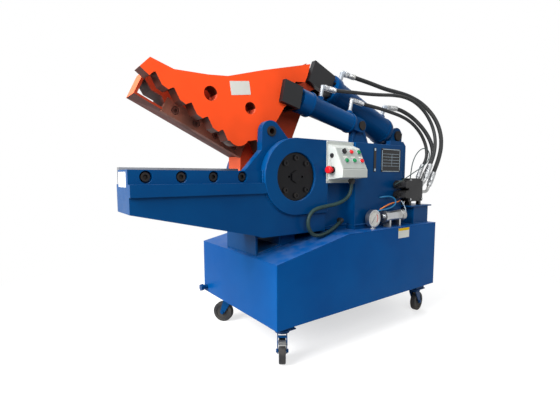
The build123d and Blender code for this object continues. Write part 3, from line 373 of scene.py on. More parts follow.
def material(name, group, values, bump, metallic=0.0, coat=0.0, specular=0.5):
    """A principled material whose colour, roughness and bump come from one of the groups."""
    made = bpy.data.materials.new(name)
    made.use_nodes = True
    tree = made.node_tree
    shader = tree.nodes["Principled BSDF"]
    effect = use_group(tree, group, values)
    effect.name = "finish"
    tree.links.new(effect.outputs["Colour"], shader.inputs["Base Color"])
    tree.links.new(effect.outputs["Roughness"], shader.inputs["Roughness"])
    relief = tree.nodes.new("ShaderNodeBump")
    relief.inputs["Strength"].default_value, relief.inputs["Distance"].default_value = bump
    tree.links.new(effect.outputs["Height"], relief.inputs["Height"])
    tree.links.new(relief.outputs["Normal"], shader.inputs["Normal"])
    shader.inputs["Metallic"].default_value = metallic
    shader.inputs["Specular IOR Level"].default_value = specular
    shader.inputs["Coat Weight"].default_value = coat
    shader.inputs["Coat Roughness"].default_value = 0.15
    return made


def paint(name, colour, primer=(70, 78, 88), dust=0.2, chips=0.5, gloss=0.30, coat=0.02, specular=0.07):
    values = {"Paint": tone(*colour), "Primer": tone(*primer), "Dust": dust, "Chips": chips, "Gloss": gloss}
    return material(name, wear, values, (0.2, 0.0005), coat=coat, specular=specular)


def metal(name, colour, stain, amount=0.4, scale=120.0, roughness=0.3, bump=0.08, metallic=1.0, specular=0.3):
    values = {"Colour": tone(*colour), "Stain": tone(*stain), "Amount": amount, "Scale": scale,
              "Roughness": roughness}
    return material(name, grain, values, (bump, 0.0005), metallic=metallic, specular=specular)


def matt(name, colour, stain, **amounts):
    return metal(name, colour, stain, metallic=0.0, **amounts)


def tinted(made, group, values):
    """Feeds the paint of a material from a second group, which is returned."""
    tree = made.node_tree
    source = use_group(tree, group, values)
    tree.links.new(source.outputs["Colour"], tree.nodes["finish"].inputs["Paint"])
    return source


def barrel_paint(name, low, high, radius):
    """Blue paint on a cylinder, and bare zinc on the pipe elbows that stand out of it."""
    made = paint(name, BLUE, chips=0.3)
    axis = (at(*high) - at(*low)).normalized()
    values = {"Paint": tone(*BLUE), "Fitting": tone(170, 174, 178), "Axis Point": at(*low), "Axis": axis,
              "Radius": radius / 1000}
    source = tinted(made, far_out, values)
    made.node_tree.links.new(source.outputs["Mask"], made.node_tree.nodes["Principled BSDF"].inputs["Metallic"])
    return made


# LIT_TANK_BLUE is the machine's blue paint made lighter, as painted light on the tank.
BLUE, LIT_TANK_BLUE, ORANGE, LABEL_WHITE = (0, 62, 112), (0, 76, 140), (243, 80, 34), (204, 204, 198)
blue = paint("machine blue", BLUE, dust=0.1)
jaw_blue = paint("lower jaw blue", BLUE, dust=0.1)
tinted(jaw_blue, label, {
    "Paint": tone(*BLUE), "Label": tone(*LABEL_WHITE), "Band": tone(*LABEL_WHITE),
    "Centre": at(-795, -162, 906), "Half Size": (0.004, 0.058, 0.030), "Band Height": 0.0,
})
# The tank gets the lighter blue: painted light.
lit_tank_blue = paint("tank blue with painted light", LIT_TANK_BLUE, dust=0.06, chips=0.2, specular=0.04)
tinted(lit_tank_blue, label, {
    "Paint": tone(*LIT_TANK_BLUE), "Label": tone(226, 224, 212), "Band": tone(236, 190, 20),
    "Centre": at(746, -389, 578), "Half Size": (0.054, 0.004, 0.030), "Band Height": 0.016,
})
orange = paint("jaw orange", ORANGE, primer=(120, 60, 45), chips=0.3, dust=0.1)
# The hold-down jaw's ends are painted lighter as light, and its undersides and tooth flanks dark brown as
# painted shade.
tinted(orange, faces, {"Sides": tone(*ORANGE), "Lit Ends": tone(232, 96, 68), "Shaded Under": tone(74, 32, 22)})
# The main jaw is orange paint: its brown colour and darker sides and undersides are painted shade, its pale ends
# painted light.
jaw_lit_and_shaded = paint("main jaw paint", (120, 60, 44), primer=(70, 42, 34), chips=0.6, gloss=0.45, dust=0.15)
tinted(jaw_lit_and_shaded, faces, {"Sides": tone(158, 56, 32), "Lit Ends": tone(238, 100, 62), "Shaded Under": tone(84, 36, 28)})
black_paint = paint("black enamel", (20, 20, 22), primer=(70, 66, 62), dust=0.12, chips=0.3, gloss=0.4,
                    specular=0.3)
hub_black = paint("hub black", (10, 10, 13), primer=(60, 58, 56), dust=0.08, chips=0.5, specular=0.16)
cream = paint("box cream", (194, 196, 188), primer=(150, 148, 140), dust=0.1, chips=0.1, gloss=0.4)
motor_blue = paint("motor blue", (38, 92, 140), gloss=0.4)
main_barrel_blue = barrel_paint("main cylinder", MAIN_LOW, MAIN_HIGH, 104)
clamp_barrel_blue = barrel_paint("hold-down cylinder", CLAMP_LOW, CLAMP_HIGH, 72)

blade_steel = metal("blade steel", (150, 152, 156), (96, 82, 70), amount=0.5, roughness=0.36, bump=0.12)
chrome = metal("hard chrome", (190, 192, 196), (130, 132, 136), amount=0.3, roughness=0.12, bump=0.02)
zinc = metal("zinc plate", (176, 178, 180), (120, 116, 104), amount=0.5, roughness=0.3)
screw_black = metal("blackened screw", (24, 24, 26), (52, 44, 38), amount=0.5, roughness=0.4, metallic=0.5)
# The upper blade and its screws are dark brown: partly rust, partly painted shade where they sit between the
# jaws.
dark_blade = matt("rusty blade in painted shade", (118, 70, 54), (70, 42, 32), amount=0.8, roughness=0.6, bump=0.25)
dark_screw = matt("rusty screw in painted shade", (84, 48, 38), (50, 32, 26), amount=0.6, roughness=0.6)
grey_panel = matt("panel grey", (158, 164, 160), (126, 130, 128), amount=0.3, roughness=0.45)
red_cap = matt("red cap", (206, 20, 28), (160, 16, 22), amount=0.3, roughness=0.3, bump=0.02)
green_cap = matt("green cap", (0, 122, 70), (0, 96, 54), amount=0.3, roughness=0.3, bump=0.02)
black_plastic = matt("black plastic", (24, 24, 26), (44, 43, 42), amount=0.4, roughness=0.42)
rubber = matt("hose rubber", (26, 28, 30), (62, 60, 56), amount=0.35, scale=260, roughness=0.5, bump=0.2)
ribbed = matt("conduit plastic", (22, 44, 44), (40, 66, 62), amount=0.4, scale=260, roughness=0.45)
tread = matt("tread rubber", (30, 31, 34), (80, 76, 70), amount=0.6, scale=160, roughness=0.62, bump=0.2)
white_label = matt("bare white label", LABEL_WHITE, (196, 192, 182), amount=0.4, roughness=0.45)
teal = matt("small blue line", (24, 104, 150), (20, 80, 118), amount=0.3, roughness=0.4)
tan_line = matt("small orange line", (214, 120, 50), (170, 90, 40), amount=0.3, roughness=0.4)
pale_line = matt("small pale line", (168, 188, 202), (130, 150, 160), amount=0.3, roughness=0.4)
print(len(bpy.data.materials), "materials")

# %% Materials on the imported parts
FINISH = {
    "tank": lit_tank_blue, "tank_top": lit_tank_blue, "tank_fittings": blue, "lower_jaw": jaw_blue, "ring_plate": blue,
    "inner_cheek": blue, "far_cheek": blue, "frame_base": blue, "rear_column": blue, "rear_lugs": blue,
    "clamp_post": blue,
    "lower_blade": blade_steel, "socket_screws": screw_black, "pivot_shaft": blade_steel,
    "hub_discs": hub_black, "frame_pins": screw_black, "control_box": cream, "control_panel": grey_panel,
    "box_fittings": black_plastic, "nameplate": black_paint, "hydraulic_stand": blue,
    "valve_manifold": black_paint, "solenoid_valves": black_plastic, "pressure_gauge": zinc,
    "line_filter": zinc, "motor": motor_blue, "pump": black_paint, "caster_mounts": blue,
    "pipe_fittings": zinc, "main_jaw": jaw_lit_and_shaded, "upper_blade": dark_blade,
    "upper_blade_screws": dark_screw, "hold_down_jaw": orange, "main_barrel": main_barrel_blue,
    "main_rod": chrome, "main_rod_end": black_paint, "clamp_barrel": clamp_barrel_blue, "clamp_rod": chrome,
    "clamp_rod_end": black_paint, "selector": black_plastic, "emergency_stop": red_cap,
    "button_top_middle": red_cap,
    "button_top_right": green_cap, "button_low_left": green_cap, "button_low_middle": green_cap,
    "button_low_right": red_cap, "brake_pedal": zinc,
}
for corner in ("front_near", "front_far", "rear_near", "rear_far"):
    FINISH["caster_fork_" + corner] = blue
    FINISH["wheel_" + corner] = tread


def give(obj, finish):
    obj.data.materials.clear()
    obj.data.materials.append(finish)


for name, finish in FINISH.items():
    give(nodes[name], finish)
print(len(FINISH), "packed parts have their finish")

# %% [markdown]
# ## Rounded edges
# Flame-cut plate and folded sheet never have a perfectly sharp edge, and the photograph shows a pale line of
# light along every one. The parts arrive as loose triangles, so a Weld modifier joins them first and a Bevel
# modifier rounds only the edges that turn by more than 30 degrees.

# %% Bevels
# Corners closer together than this, in metres, become one.
JOIN_WITHIN = 0.00002
SHARP = math.radians(30)
BEVELS = {
    "tank": 2.5, "tank_top": 1.5, "lower_jaw": 2.5, "ring_plate": 3.0, "inner_cheek": 2.5, "far_cheek": 2.5,
    "frame_base": 2.0, "rear_column": 3.0, "clamp_post": 2.5, "rear_lugs": 2.5, "main_jaw": 2.5,
    "hold_down_jaw": 2.5, "main_rod_end": 2.5, "clamp_rod_end": 2.5, "control_box": 2.0, "hydraulic_stand": 1.5,
    "main_barrel": 1.5, "clamp_barrel": 1.5, "hub_discs": 2.0, "caster_mounts": 1.5, "valve_manifold": 1.5,
    "socket_screws": 1.0, "nameplate": 0.4, "lower_blade": 0.8, "upper_blade": 0.8, "pump": 2.0, "motor": 1.0,
}


def round_edges(obj, millimetres):
    weld = obj.modifiers.new("join", "WELD")
    weld.merge_threshold = JOIN_WITHIN
    bevel = obj.modifiers.new("edge", "BEVEL")
    bevel.width = millimetres / 1000
    bevel.segments = 2
    bevel.limit_method = "ANGLE"
    bevel.angle_limit = SHARP
    bevel.harden_normals = True


for name, millimetres in BEVELS.items():
    round_edges(nodes[name], millimetres)
print(len(BEVELS), "parts with rounded edges")

# %% [markdown]
# ## Hoses and conduit
# A hydraulic hose is stiff: it leaves each fitting straight and bends in one wide curve. Each is a NURBS curve
# that follows its solid and is as thick as the real hose.

# %% Cords
HOSES = {
    "main_head_hose": [
        (636.7, -9.5, 1568), (695.9, -15.5, 1560.2), (841, -36, 1540), (957, -58, 1516), (1072, -84, 1504),
        (1165, -116, 1484), (1262, -160, 1434), (1330, -212, 1342), (1344, -254, 1236), (1312, -284, 1132),
        (1254, -300, 1036), (1189, -305, 946.6), (1158, -305, 892.9),
    ],
    "main_rear_hose": [
        (1062.8, -22.2, 1405.2), (1118.2, -45, 1402.2), (1168, -70, 1382), (1220, -106, 1342),
        (1262, -144, 1286), (1292, -182, 1220), (1304, -214, 1148), (1290, -236, 1078), (1240, -245, 1008),
        (1189, -245, 946.6), (1158, -245, 892.9),
    ],
    "clamp_head_hose": [
        (328, -150, 1413.6), (387.9, -150, 1410), (524, -153, 1420), (645, -158, 1425), (771, -165, 1434),
        (892, -174, 1447), (1004, -187, 1447), (1096, -205, 1422), (1170, -227, 1370), (1218, -250, 1298),
        (1234, -272, 1222), (1224, -290, 1142), (1190, -302, 1062), (1143, -305, 991.2),
        (1118, -305, 947.9),
    ],
    "clamp_rear_hose": [
        (568.6, -150, 1370.1), (628.2, -150, 1363), (716, -153, 1357), (800, -157, 1350), (885, -164, 1338),
        (966, -173, 1325), (1046, -185, 1302), (1120, -199, 1260), (1180, -213, 1200), (1210, -227, 1132),
        (1208, -238, 1070), (1178, -245, 1018), (1138, -245, 982.6), (1118, -245, 947.9),
    ],
    "conduit": [
        (340, -330, 878), (340, -330, 832), (300, -321, 788), (238, -312, 768), (165, -306, 761),
        (90, -303, 748), (57, -303, 714), (51, -303, 669), (73, -303, 629), (115, -302, 607),
        (175, -298, 612), (232, -287, 626), (282, -274, 642), (322, -262, 660),
    ],
}
# Half the thickness of each, in millimetres.
CORD_RADIUS = {
    "main_head_hose": 14, "main_rear_hose": 14, "clamp_head_hose": 11, "clamp_rear_hose": 11, "conduit": 9,
}


def spline_object(name, points, radius):
    """A smooth curve with these control points, as thick as twice radius."""
    curve = bpy.data.curves.new(name, "CURVE")
    curve.dimensions = "3D"
    curve.bevel_depth, curve.bevel_resolution, curve.resolution_u = radius / 1000, 5, 10
    curve.use_fill_caps = True
    spline = curve.splines.new("NURBS")
    spline.points.add(len(points) - 1)
    for target, point in zip(spline.points, points):
        target.co = (*at(*point), 1)
    spline.order_u = 3
    spline.use_endpoint_u = True
    made = bpy.data.objects.new(name, curve)
    bpy.context.collection.objects.link(made)
    return made


for name, points in HOSES.items():
    cord = spline_object("cord_" + name, points, CORD_RADIUS[name])
    give(cord, ribbed if name == "conduit" else rubber)
    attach(cord, "frame")
    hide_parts(name)
    stiffness = "medium" if name == "conduit" else "stiff"

# %% [markdown]
# ## Turned pieces
# Hose cuffs, bezels and dial rims are all turned on a lathe, so one helper spins a profile round a line. The
# profile lists how far along the line, and how far out from it, each corner lies.

# %% Helpers for turned pieces


def spin_into(builder, start, direction, profile, sides=32):
    """Adds a closed spun form: profile is a list of (along, out) in metres, from the axis back to the axis."""
    direction = Vector(direction).normalized()
    side = direction.orthogonal().normalized()
    other = direction.cross(side)
    rings = []
    for along, out in profile:
        centre = Vector(start) + direction * along
        if out < 1e-6:
            rings.append([builder.verts.new(centre)])
            continue
        angles = [2 * math.pi * i / sides for i in range(sides)]
        spokes = [side * math.cos(a) + other * math.sin(a) for a in angles]
        rings.append([builder.verts.new(centre + spoke * out) for spoke in spokes])
    for first, second in zip(rings, rings[1:]):
        for i in range(sides):
            j = (i + 1) % sides
            if len(first) == 1 and len(second) > 1:
                builder.faces.new((first[0], second[i], second[j]))
            elif len(second) == 1 and len(first) > 1:
                builder.faces.new((first[i], second[0], first[j]))
            elif len(first) > 1:
                builder.faces.new((first[i], second[i], second[j], first[j]))


def keep(builder, name, finish, body="frame"):
    """Cleans what was built, makes it a piece with a finish, and fixes it to one body."""
    bmesh.ops.remove_doubles(builder, verts=builder.verts, dist=1e-6)
    bmesh.ops.recalc_face_normals(builder, faces=builder.faces)
    mesh = bpy.data.meshes.new(name)
    builder.to_mesh(mesh)
    builder.free()
    mesh.polygons.foreach_set("use_smooth", [True] * len(mesh.polygons))
    mesh.set_sharp_from_angle(angle=math.radians(35))
    made = bpy.data.objects.new(name, mesh)
    bpy.context.collection.objects.link(made)
    give(made, finish)
    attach(made, body)
    print(name, len(mesh.polygons), "faces")


# %% [markdown]
# ## Hose cuffs
# A crimped cuff grips each end of a hose: a steel sleeve squeezed into ridges, with a hexagon nut behind it.

# %% Hose cuffs
cuffs = bmesh.new()
# A cuff reaches OVERLAP back over its fitting, and the middle of its nut is NUT_BEHIND the hose's end.
OVERLAP = 0.004
RIDGES, RIDGE_STEP = 5, 0.009
NUT_BEHIND, NUT_LENGTH, NUT_MARGIN = 0.017, 0.018, 0.0065


def cuff(end, along, radius):
    """A ridged sleeve that starts at the hose's end and runs in the direction along. Lengths are in metres."""
    profile = [(-OVERLAP, radius * 0.9), (-OVERLAP, radius + 0.004)]
    for ridge in range(RIDGES):
        low, high = 0.004 + ridge * RIDGE_STEP, 0.009 + ridge * RIDGE_STEP
        profile += [(low, radius + 0.0045), (low + 0.001, radius + 0.0030), (high - 0.001, radius + 0.0030)]
        profile += [(high, radius + 0.0045)]
    profile += [(0.056, radius + 0.004), (0.058, radius + 0.0005), (-OVERLAP, radius * 0.9)]
    spin_into(cuffs, end, along, profile)


def nut(middle, along, across, length):
    """A hexagon nut with its corners turned down, centred on middle."""
    r = across / math.sqrt(3)
    profile = [(-length / 2, 0), (-length / 2, r * 0.86), (-length * 0.36, r), (length * 0.36, r)]
    profile += [(length / 2, r * 0.86), (length / 2, 0)]
    spin_into(cuffs, middle, along, profile, sides=6)


for name, points in HOSES.items():
    if name == "conduit":
        continue
    radius = CORD_RADIUS[name] / 1000
    for end, inward in ((at(*points[0]), at(*points[1])), (at(*points[-1]), at(*points[-2]))):
        along = (inward - end).normalized()
        cuff(end, along, radius)
        nut(end - along * NUT_BEHIND, along, radius * 2 + NUT_MARGIN, NUT_LENGTH)
keep(cuffs, "hose_cuffs", zinc)

# %% [markdown]
# ## Conduit ribs
# The conduit is a corrugated plastic tube. Small rings set along the smooth tube show this with few faces.

# %% Ribs of the conduit


def walk(points, step):
    """Evenly spaced places along a route, each with its direction, read from the route's own spline."""
    line = spline_object("route", points, 0)
    line.data.use_fill_caps = False
    line.data.resolution_u = 24
    bpy.context.view_layer.update()
    mesh = bpy.data.meshes.new_from_object(line.evaluated_get(bpy.context.evaluated_depsgraph_get()))
    spots = [v.co.copy() for v in mesh.vertices]
    bpy.data.meshes.remove(mesh)
    bpy.data.objects.remove(line)
    found, need = [], step
    for here, there in zip(spots, spots[1:]):
        span = (there - here).length
        while need <= span:
            found.append((here.lerp(there, need / span), (there - here).normalized()))
            need += step
        need -= span
    return found


ribs = bmesh.new()
RIB_STEP = 0.0062
RIB = [(-0.0017, 0.0088), (-0.0010, 0.0103), (0.0010, 0.0103), (0.0017, 0.0088)]
for spot, direction in walk(HOSES["conduit"], RIB_STEP):
    spin_into(ribs, spot, direction, RIB, sides=16)
keep(ribs, "conduit_ribs", ribbed)

# %% [markdown]
# ## Weld beads
# The frame is welded plate, so a rippled bead runs along each seam. The bead is a Geometry Nodes tree: it walks
# along the seam in equal steps and sets a round drop at each, a little larger or smaller at random.

# %% The bead tree


def new_growth(name, numbers):
    """A tree from geometry to geometry, with these number inputs and one for the finish."""
    tree = bpy.data.node_groups.new(name, "GeometryNodeTree")
    tree.interface.new_socket("Geometry", in_out="INPUT", socket_type="NodeSocketGeometry")
    for label, value in numbers.items():
        number = tree.interface.new_socket(label, in_out="INPUT", socket_type="NodeSocketFloat")
        number.default_value = value
    tree.interface.new_socket("Metal", in_out="INPUT", socket_type="NodeSocketMaterial")
    tree.interface.new_socket("Geometry", in_out="OUTPUT", socket_type="NodeSocketGeometry")
    return tree


def bead_tree():
    tree = new_growth("weld bead", {"Step": 0.006, "Size": 0.005})
    new, link = tree.nodes.new, tree.links.new
    given, result = new("NodeGroupInput"), new("NodeGroupOutput")
    curve, steps = new("GeometryNodeMeshToCurve"), new("GeometryNodeResampleCurve")
    steps.mode = "LENGTH"
    drop = new("GeometryNodeMeshUVSphere")
    drop.inputs["Segments"].default_value, drop.inputs["Rings"].default_value = 8, 5
    drop.inputs["Radius"].default_value = 1.0
    place, wobble = new("GeometryNodeInstanceOnPoints"), new("FunctionNodeRandomValue")
    wobble.data_type = "FLOAT"
    wobble.inputs[2].default_value, wobble.inputs[3].default_value = 0.82, 1.15
    wobble.inputs["Seed"].default_value = 7
    scaled = new("ShaderNodeMath")
    scaled.operation = "MULTIPLY"
    real, smooth = new("GeometryNodeRealizeInstances"), new("GeometryNodeSetShadeSmooth")
    metal_node = new("GeometryNodeSetMaterial")
    link(given.outputs["Geometry"], curve.inputs["Mesh"])
    link(curve.outputs["Curve"], steps.inputs["Curve"])
    link(given.outputs["Step"], steps.inputs["Length"])
    link(steps.outputs["Curve"], place.inputs["Points"])
    link(drop.outputs["Mesh"], place.inputs["Instance"])
    link(wobble.outputs[1], scaled.inputs[0])
    link(given.outputs["Size"], scaled.inputs[1])
    link(scaled.outputs[0], place.inputs["Scale"])
    link(place.outputs["Instances"], real.inputs["Geometry"])
    link(real.outputs["Geometry"], smooth.inputs["Geometry"])
    link(smooth.outputs["Geometry"], metal_node.inputs["Geometry"])
    link(given.outputs["Metal"], metal_node.inputs["Material"])
    link(metal_node.outputs["Geometry"], result.inputs["Geometry"])
    return tree


BEAD = bead_tree()
print("bead tree", len(BEAD.nodes), "nodes")


def grow(name, source, tree, values, body):
    """Runs a Geometry Nodes tree on source and keeps the result as a plain mesh piece."""
    carrier = bpy.data.objects.new(name + "_carrier", source)
    bpy.context.collection.objects.link(carrier)
    modifier = carrier.modifiers.new("grow", "NODES")
    modifier.node_group = tree
    sockets = {i.name: i.identifier for i in tree.interface.items_tree if i.in_out == "INPUT"}
    for label, value in values.items():
        modifier[sockets[label]] = value
    bpy.context.view_layer.update()
    seen = carrier.evaluated_get(bpy.context.evaluated_depsgraph_get())
    mesh = bpy.data.meshes.new_from_object(seen)
    mesh.name = name
    bpy.data.objects.remove(carrier)
    made = bpy.data.objects.new(name, mesh)
    bpy.context.collection.objects.link(made)
    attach(made, body)
    print(name, len(mesh.polygons), "faces")


def arc(x, z, radius, first, last, y, steps=40):
    angles = [math.radians(first + (last - first) * i / steps) for i in range(steps + 1)]
    return [(x + radius * math.cos(a), y, z + radius * math.sin(a)) for a in angles]


# The corners of each seam, counted as at() counts them.
SEAMS = [
    arc(0, 916, 193, 172, 270, -260.5) + [(212, -260.5, 723)],
    [(405, -298, 640.5), (840, -298, 640.5)],
    [(212, -235.5, 640.5), (405, -235.5, 640.5)],
    [(-188, -236, 625), (212, -236, 625)],
    [(845, -203.5, 640.5), (1013, -203.5, 640.5)],
    [(516, -167.5, 1108.5), (672, -167.5, 1108.5)],
    [(-188, -188, 521.5), (-33, -188, 554.5), (-33, -188, 620)],
    [(-188, -188, 521.5), (-188, -188, 620)],
    [(900, -350.5, 616.5), (1060, -350.5, 616.5), (1060, -207, 616.5)],
    [(213, -236, 724), (213, -236, 878)],
    [(780, -81, 640.5), (1085, -81, 640.5)],
    [(-188, 113, 640.5), (765, 113, 640.5)],
    [(780, 71, 640.5), (1085, 71, 640.5)],
]


def seam_mesh(seams):
    mesh = bpy.data.meshes.new("seams")
    points, edges = [], []
    for seam in seams:
        first = len(points)
        points += [at(*p) for p in seam]
        edges += [(i, i + 1) for i in range(first, len(points) - 1)]
    mesh.from_pydata(points, edges, [])
    return mesh


# %% Beads along the frame's seams
grow("weld_beads", seam_mesh(SEAMS), BEAD, {"Step": 0.0055, "Size": 0.0048, "Metal": blue}, "frame")

# %% [markdown]
# ## Cap screws
# Cap screws with a hexagon socket hold each cylinder's gland and the valve block. They are all alike, so a
# Geometry Nodes tree sets one copy at each point, turned to the point's own direction.

# %% The screw tree


def screw_tree():
    tree = new_growth("screws", {"Size": 0.008})
    new, link = tree.nodes.new, tree.links.new
    given, result = new("NodeGroupInput"), new("NodeGroupOutput")
    head, socket = new("GeometryNodeMeshCone"), new("GeometryNodeMeshCone")
    for cone, sides, low, high, deep in ((head, 20, 1.0, 0.92, 0.9), (socket, 6, 0.5, 0.5, 0.06)):
        cone.inputs["Vertices"].default_value = sides
        cone.inputs["Radius Top"].default_value, cone.inputs["Radius Bottom"].default_value = high, low
        cone.inputs["Depth"].default_value = deep
    lifted = new("GeometryNodeTransform")
    lifted.inputs["Translation"].default_value = (0, 0, 0.88)
    both, place = new("GeometryNodeJoinGeometry"), new("GeometryNodeInstanceOnPoints")
    normal, align = new("GeometryNodeInputNamedAttribute"), new("FunctionNodeAlignRotationToVector")
    normal.data_type = "FLOAT_VECTOR"
    normal.inputs["Name"].default_value = "out"
    align.axis = "Z"
    real, metal_node = new("GeometryNodeRealizeInstances"), new("GeometryNodeSetMaterial")
    link(socket.outputs["Mesh"], lifted.inputs["Geometry"])
    link(head.outputs["Mesh"], both.inputs["Geometry"])
    link(lifted.outputs["Geometry"], both.inputs["Geometry"])
    link(given.outputs["Geometry"], place.inputs["Points"])
    link(both.outputs["Geometry"], place.inputs["Instance"])
    link(normal.outputs["Attribute"], align.inputs["Vector"])
    link(align.outputs["Rotation"], place.inputs["Rotation"])
    link(given.outputs["Size"], place.inputs["Scale"])
    link(place.outputs["Instances"], real.inputs["Geometry"])
    link(real.outputs["Geometry"], metal_node.inputs["Geometry"])
    link(given.outputs["Metal"], metal_node.inputs["Material"])
    link(metal_node.outputs["Geometry"], result.inputs["Geometry"])
    return tree


SCREWS = screw_tree()
print("screw tree", len(SCREWS.nodes), "nodes")

# %% Cap screws


def screw_points(spots):
    """A mesh of loose points, each with the direction in which its screw stands out."""
    mesh = bpy.data.meshes.new("screw points")
    mesh.from_pydata([spot for spot, _ in spots], [], [])
    out = mesh.attributes.new("out", "FLOAT_VECTOR", "POINT")
    for value, (_, direction) in zip(out.data, spots):
        value.vector = direction
    return mesh


def gland_screws(low, high, along, circle, count):
    """Places on a circle round a cylinder's axis, along metres from its low pin."""
    axis = (at(*high) - at(*low)).normalized()
    side = Vector((0, 1, 0))
    other = axis.cross(side)
    middle = at(*low) + axis * along
    turns = [2 * math.pi * (i + 0.5) / count for i in range(count)]
    return [(middle + (side * math.cos(a) + other * math.sin(a)) * circle, axis) for a in turns]


# Each row: name, the cylinder's two pins, along, circle, count, screw size and body.
GLANDS = (
    ("clamp_gland_screws", CLAMP_LOW, CLAMP_HIGH, 0.4805, 0.046, 6, 0.006, "clamp_cylinder"),
    ("main_gland_screws", MAIN_LOW, MAIN_HIGH, 0.6705, 0.068, 8, 0.008, "main_cylinder"),
)
for name, low, high, along, circle, count, size, body in GLANDS:
    ring = screw_points(gland_screws(low, high, along, circle, count))
    grow(name, ring, SCREWS, {"Size": size, "Metal": screw_black}, body)
BLOCK_FACE = -330.2
block_spots = [(at(x, BLOCK_FACE, z), Vector((0, -1, 0))) for x in (884, 1011) for z in (772, 891)]
grow("valve_block_screws", screw_points(block_spots), SCREWS, {"Size": 0.0075, "Metal": zinc}, "frame")

# %% [markdown]
# ## Plates, dial and collars
# The controls, the gauge and the plates carry only what such parts have without words: frames, rulings, ticks
# and bare label areas.

# %% Helpers for plates


def plate_into(builder, centre, right, up, size, thick, corner=0.002, steps=4):
    """Adds a plate with round corners. right and up are its two edges' directions; it grows out of centre."""
    right, up = Vector(right).normalized(), Vector(up).normalized()
    out = right.cross(up)
    half_w, half_h = size[0] / 2 - corner, size[1] / 2 - corner
    rim = []
    for quarter, (sx, sz) in enumerate(((1, 1), (-1, 1), (-1, -1), (1, -1))):
        for i in range(steps + 1):
            a = math.pi / 2 * (quarter + i / steps)
            rim.append((sx * half_w + corner * math.cos(a), sz * half_h + corner * math.sin(a)))
    front = [builder.verts.new(Vector(centre) + right * u + up * v + out * thick) for u, v in rim]
    back = [builder.verts.new(Vector(centre) + right * u + up * v) for u, v in rim]
    builder.faces.new(front)
    builder.faces.new(list(reversed(back)))
    for i in range(len(rim)):
        j = (i + 1) % len(rim)
        builder.faces.new((back[i], back[j], front[j], front[i]))


def plates(name, finish, rows, body="frame"):
    """One piece made of several plates, each (centre, right, up, (width, height), thickness) in metres."""
    builder = bmesh.new()
    for row in rows:
        plate_into(builder, *row)
    keep(builder, name, finish, body)


# NEAR points out of the operator's side.
RIGHT, UP, NEAR = (1, 0, 0), (0, 0, 1), (0, -1, 0)

# %% Bare label of the hold-down jaw
tilt = math.radians(8.5)
arm_right, arm_up = (math.cos(tilt), 0, math.sin(tilt)), (-math.sin(tilt), 0, math.cos(tilt))
plates("jaw_label", white_label, [(at(-267, -187, 1327), arm_right, arm_up, (0.105, 0.062), 0.0006)],
       body="hold_down")

# %% Frame and rulings of the nameplate
rulings = []
PLATE_FACE = -298.9
BORDERS = ((723, 1079.5, 172, 3), (723, 948.5, 172, 3), (637.5, 1014, 3, 128), (808.5, 1014, 3, 128))
for x, z, width, height in BORDERS:
    rulings.append((at(x, PLATE_FACE, z), RIGHT, UP, (width / 1000, height / 1000), 0.0006, 0.001))
for z in (1052, 1034, 1016, 998, 980):
    rulings.append((at(723, PLATE_FACE, z), RIGHT, UP, (0.156, 0.0014), 0.0005, 0.0004))
rulings.append((at(730, PLATE_FACE, 1016), RIGHT, UP, (0.0014, 0.072), 0.0005, 0.0004))
plates("nameplate_frame", pale_line, rulings)
windows = [(at(570, -300.9, z), RIGHT, UP, (0.012, 0.014), 0.0006) for z in (956, 1074)]
plates("level_window", pale_line, windows)

# %% Collars and small plates of the controls
# The panel leans back, so it has its own up, SLOPE, and its own out, OUTWARD.
PANEL_MIDDLE = at(304.5, -359, 1010.5)
SLOPE = Vector((0, 0.4563, 0.8898))
OUTWARD = Vector((0, -0.8898, 0.4563))


def on_slope(column, row, height=0.0):
    """A place on the panel: column and row in millimetres from its middle, height out of it in metres."""
    return PANEL_MIDDLE + Vector((column / 1000, 0, 0)) + SLOPE * (row / 1000) + OUTWARD * height


collars = bmesh.new()
COLLAR = [(0.0045, 0.0122), (0.0062, 0.0126), (0.0062, 0.0142), (0.0052, 0.0151), (0.0012, 0.0151),
          (0.0012, 0.0135)]
CONTROLS = [(column, row) for column in (-46, 12, 70) for row in (38, -14)]
# The rotary switch has a collar but no tag.
SELECTOR = (-46, 38)
for column, row in CONTROLS:
    spin_into(collars, on_slope(column, row), OUTWARD, COLLAR)
keep(collars, "control_collars", chrome)
TAG_ABOVE = 22
tags = [(on_slope(column, row + TAG_ABOVE, 0.0025), RIGHT, SLOPE, (0.030, 0.008), 0.0006)
        for column, row in CONTROLS if (column, row) != SELECTOR]
plates("control_tags", white_label, tags)
flange = bmesh.new()
DOME = [(0, 0), (0, 0.0042), (0.0016, 0.0038), (0.0022, 0.0022), (0.0016, 0.0008), (0.0016, 0)]
for x in (203.5, 396.5):
    for z in (890, 1099):
        spin_into(flange, at(x, -283.9, z), NEAR, DOME, sides=16)
keep(flange, "flange_screws", zinc)

# %% Gauge dial
GAUGE_X, GAUGE_Z = 514, 677


def mark(degrees, out_by, size, front, thick=0.0002, corner=0.0002):
    """A row for plates: a mark on the dial at this angle from three o'clock, out_by metres from its middle."""
    a = math.radians(degrees)
    out, along = Vector((math.cos(a), 0, math.sin(a))), Vector((math.sin(a), 0, -math.cos(a)))
    return (at(GAUGE_X, front, GAUGE_Z) + out * out_by, along, out, size, thick, corner)


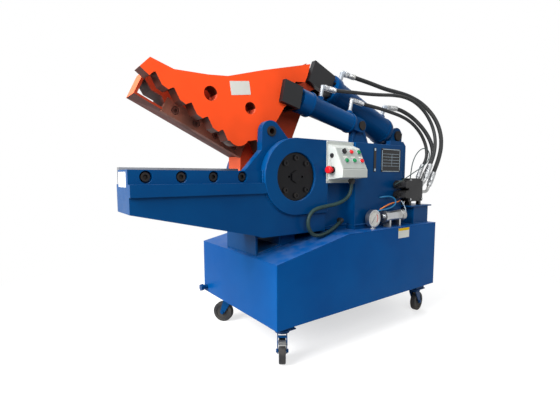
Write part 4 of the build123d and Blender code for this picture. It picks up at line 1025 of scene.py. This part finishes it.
dial = bmesh.new()
DISC = [(0, 0), (0, 0.0445), (0.0005, 0.0445), (0.0005, 0)]
spin_into(dial, at(GAUGE_X, -349.9, GAUGE_Z), NEAR, DISC, sides=64)
keep(dial, "gauge_dial", white_label)
ticks = []
for i in range(31):
    out_by, size = (0.0365, (0.0012, 0.008)) if i % 5 == 0 else (0.038, (0.0007, 0.005))
    ticks.append(mark(225 - 9 * i, out_by, size, -350.4))
plates("gauge_ticks", black_plastic, ticks)
plates("gauge_red_zone", red_cap, [mark(40 - 8 * i, 0.031, (0.0046, 0.005), -350.35) for i in range(11)])
rim = bmesh.new()
RIM = [(0, 0.0448), (0.0005, 0.0440), (0.0028, 0.0445), (0.0044, 0.0470), (0.0040, 0.0500), (0, 0.0503)]
spin_into(rim, at(GAUGE_X, -350, GAUGE_Z), NEAR, RIM, sides=64)
keep(rim, "gauge_rim", chrome)
NEEDLE_ANGLE = -130
plates("gauge_needle", black_plastic, [mark(NEEDLE_ANGLE, 0.011, (0.0024, 0.044), -350.9, 0.0006, 0.0010)])

# %% [markdown]
# ## Small lines round the valves
# Thin hoses and wires run between the valves, the gauge and the filter. Each goes back into the machine.

# %% Small lines
LINES = {
    "valve_wire": (ribbed, 3.0, "medium", [
        (898.5, -318, 905), (893, -326, 950), (896, -333, 1006), (922, -338, 1056), (966, -341, 1090),
        (1018, -342, 1100), (1058, -343, 1082), (1066, -345, 1046), (1034, -349, 1008), (972, -352, 976),
        (900, -355, 950), (826, -357, 920), (766, -353, 893), (734, -342, 876), (722, -332, 868),
    ]),
    "gauge_line": (teal, 4.5, "medium", [
        (622, -298, 792), (634, -314, 795), (664, -320, 798), (706, -324, 795), (734, -328, 779),
        (738, -332, 756), (712, -335, 738), (668, -338, 727), (616, -340, 722), (576, -340, 722),
        (549, -340, 713),
    ]),
    "filter_line": (tan_line, 4.0, "medium", [
        (792, -322, 768), (764, -322, 759), (726, -323, 757), (690, -326, 752), (650, -330, 744),
        (612, -333, 734), (580, -335, 722), (553, -338, 709),
    ]),
    "drain_line": (pale_line, 3.0, "medium", [
        (788, -333, 768), (806, -336, 750), (820, -340, 726), (828, -343, 700), (826, -344, 676),
        (812, -344, 660), (796, -343, 656),
    ]),
}
for name, (finish, radius, stiffness, points) in LINES.items():
    line = spline_object(name, points, radius)
    give(line, finish)
    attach(line, "frame")
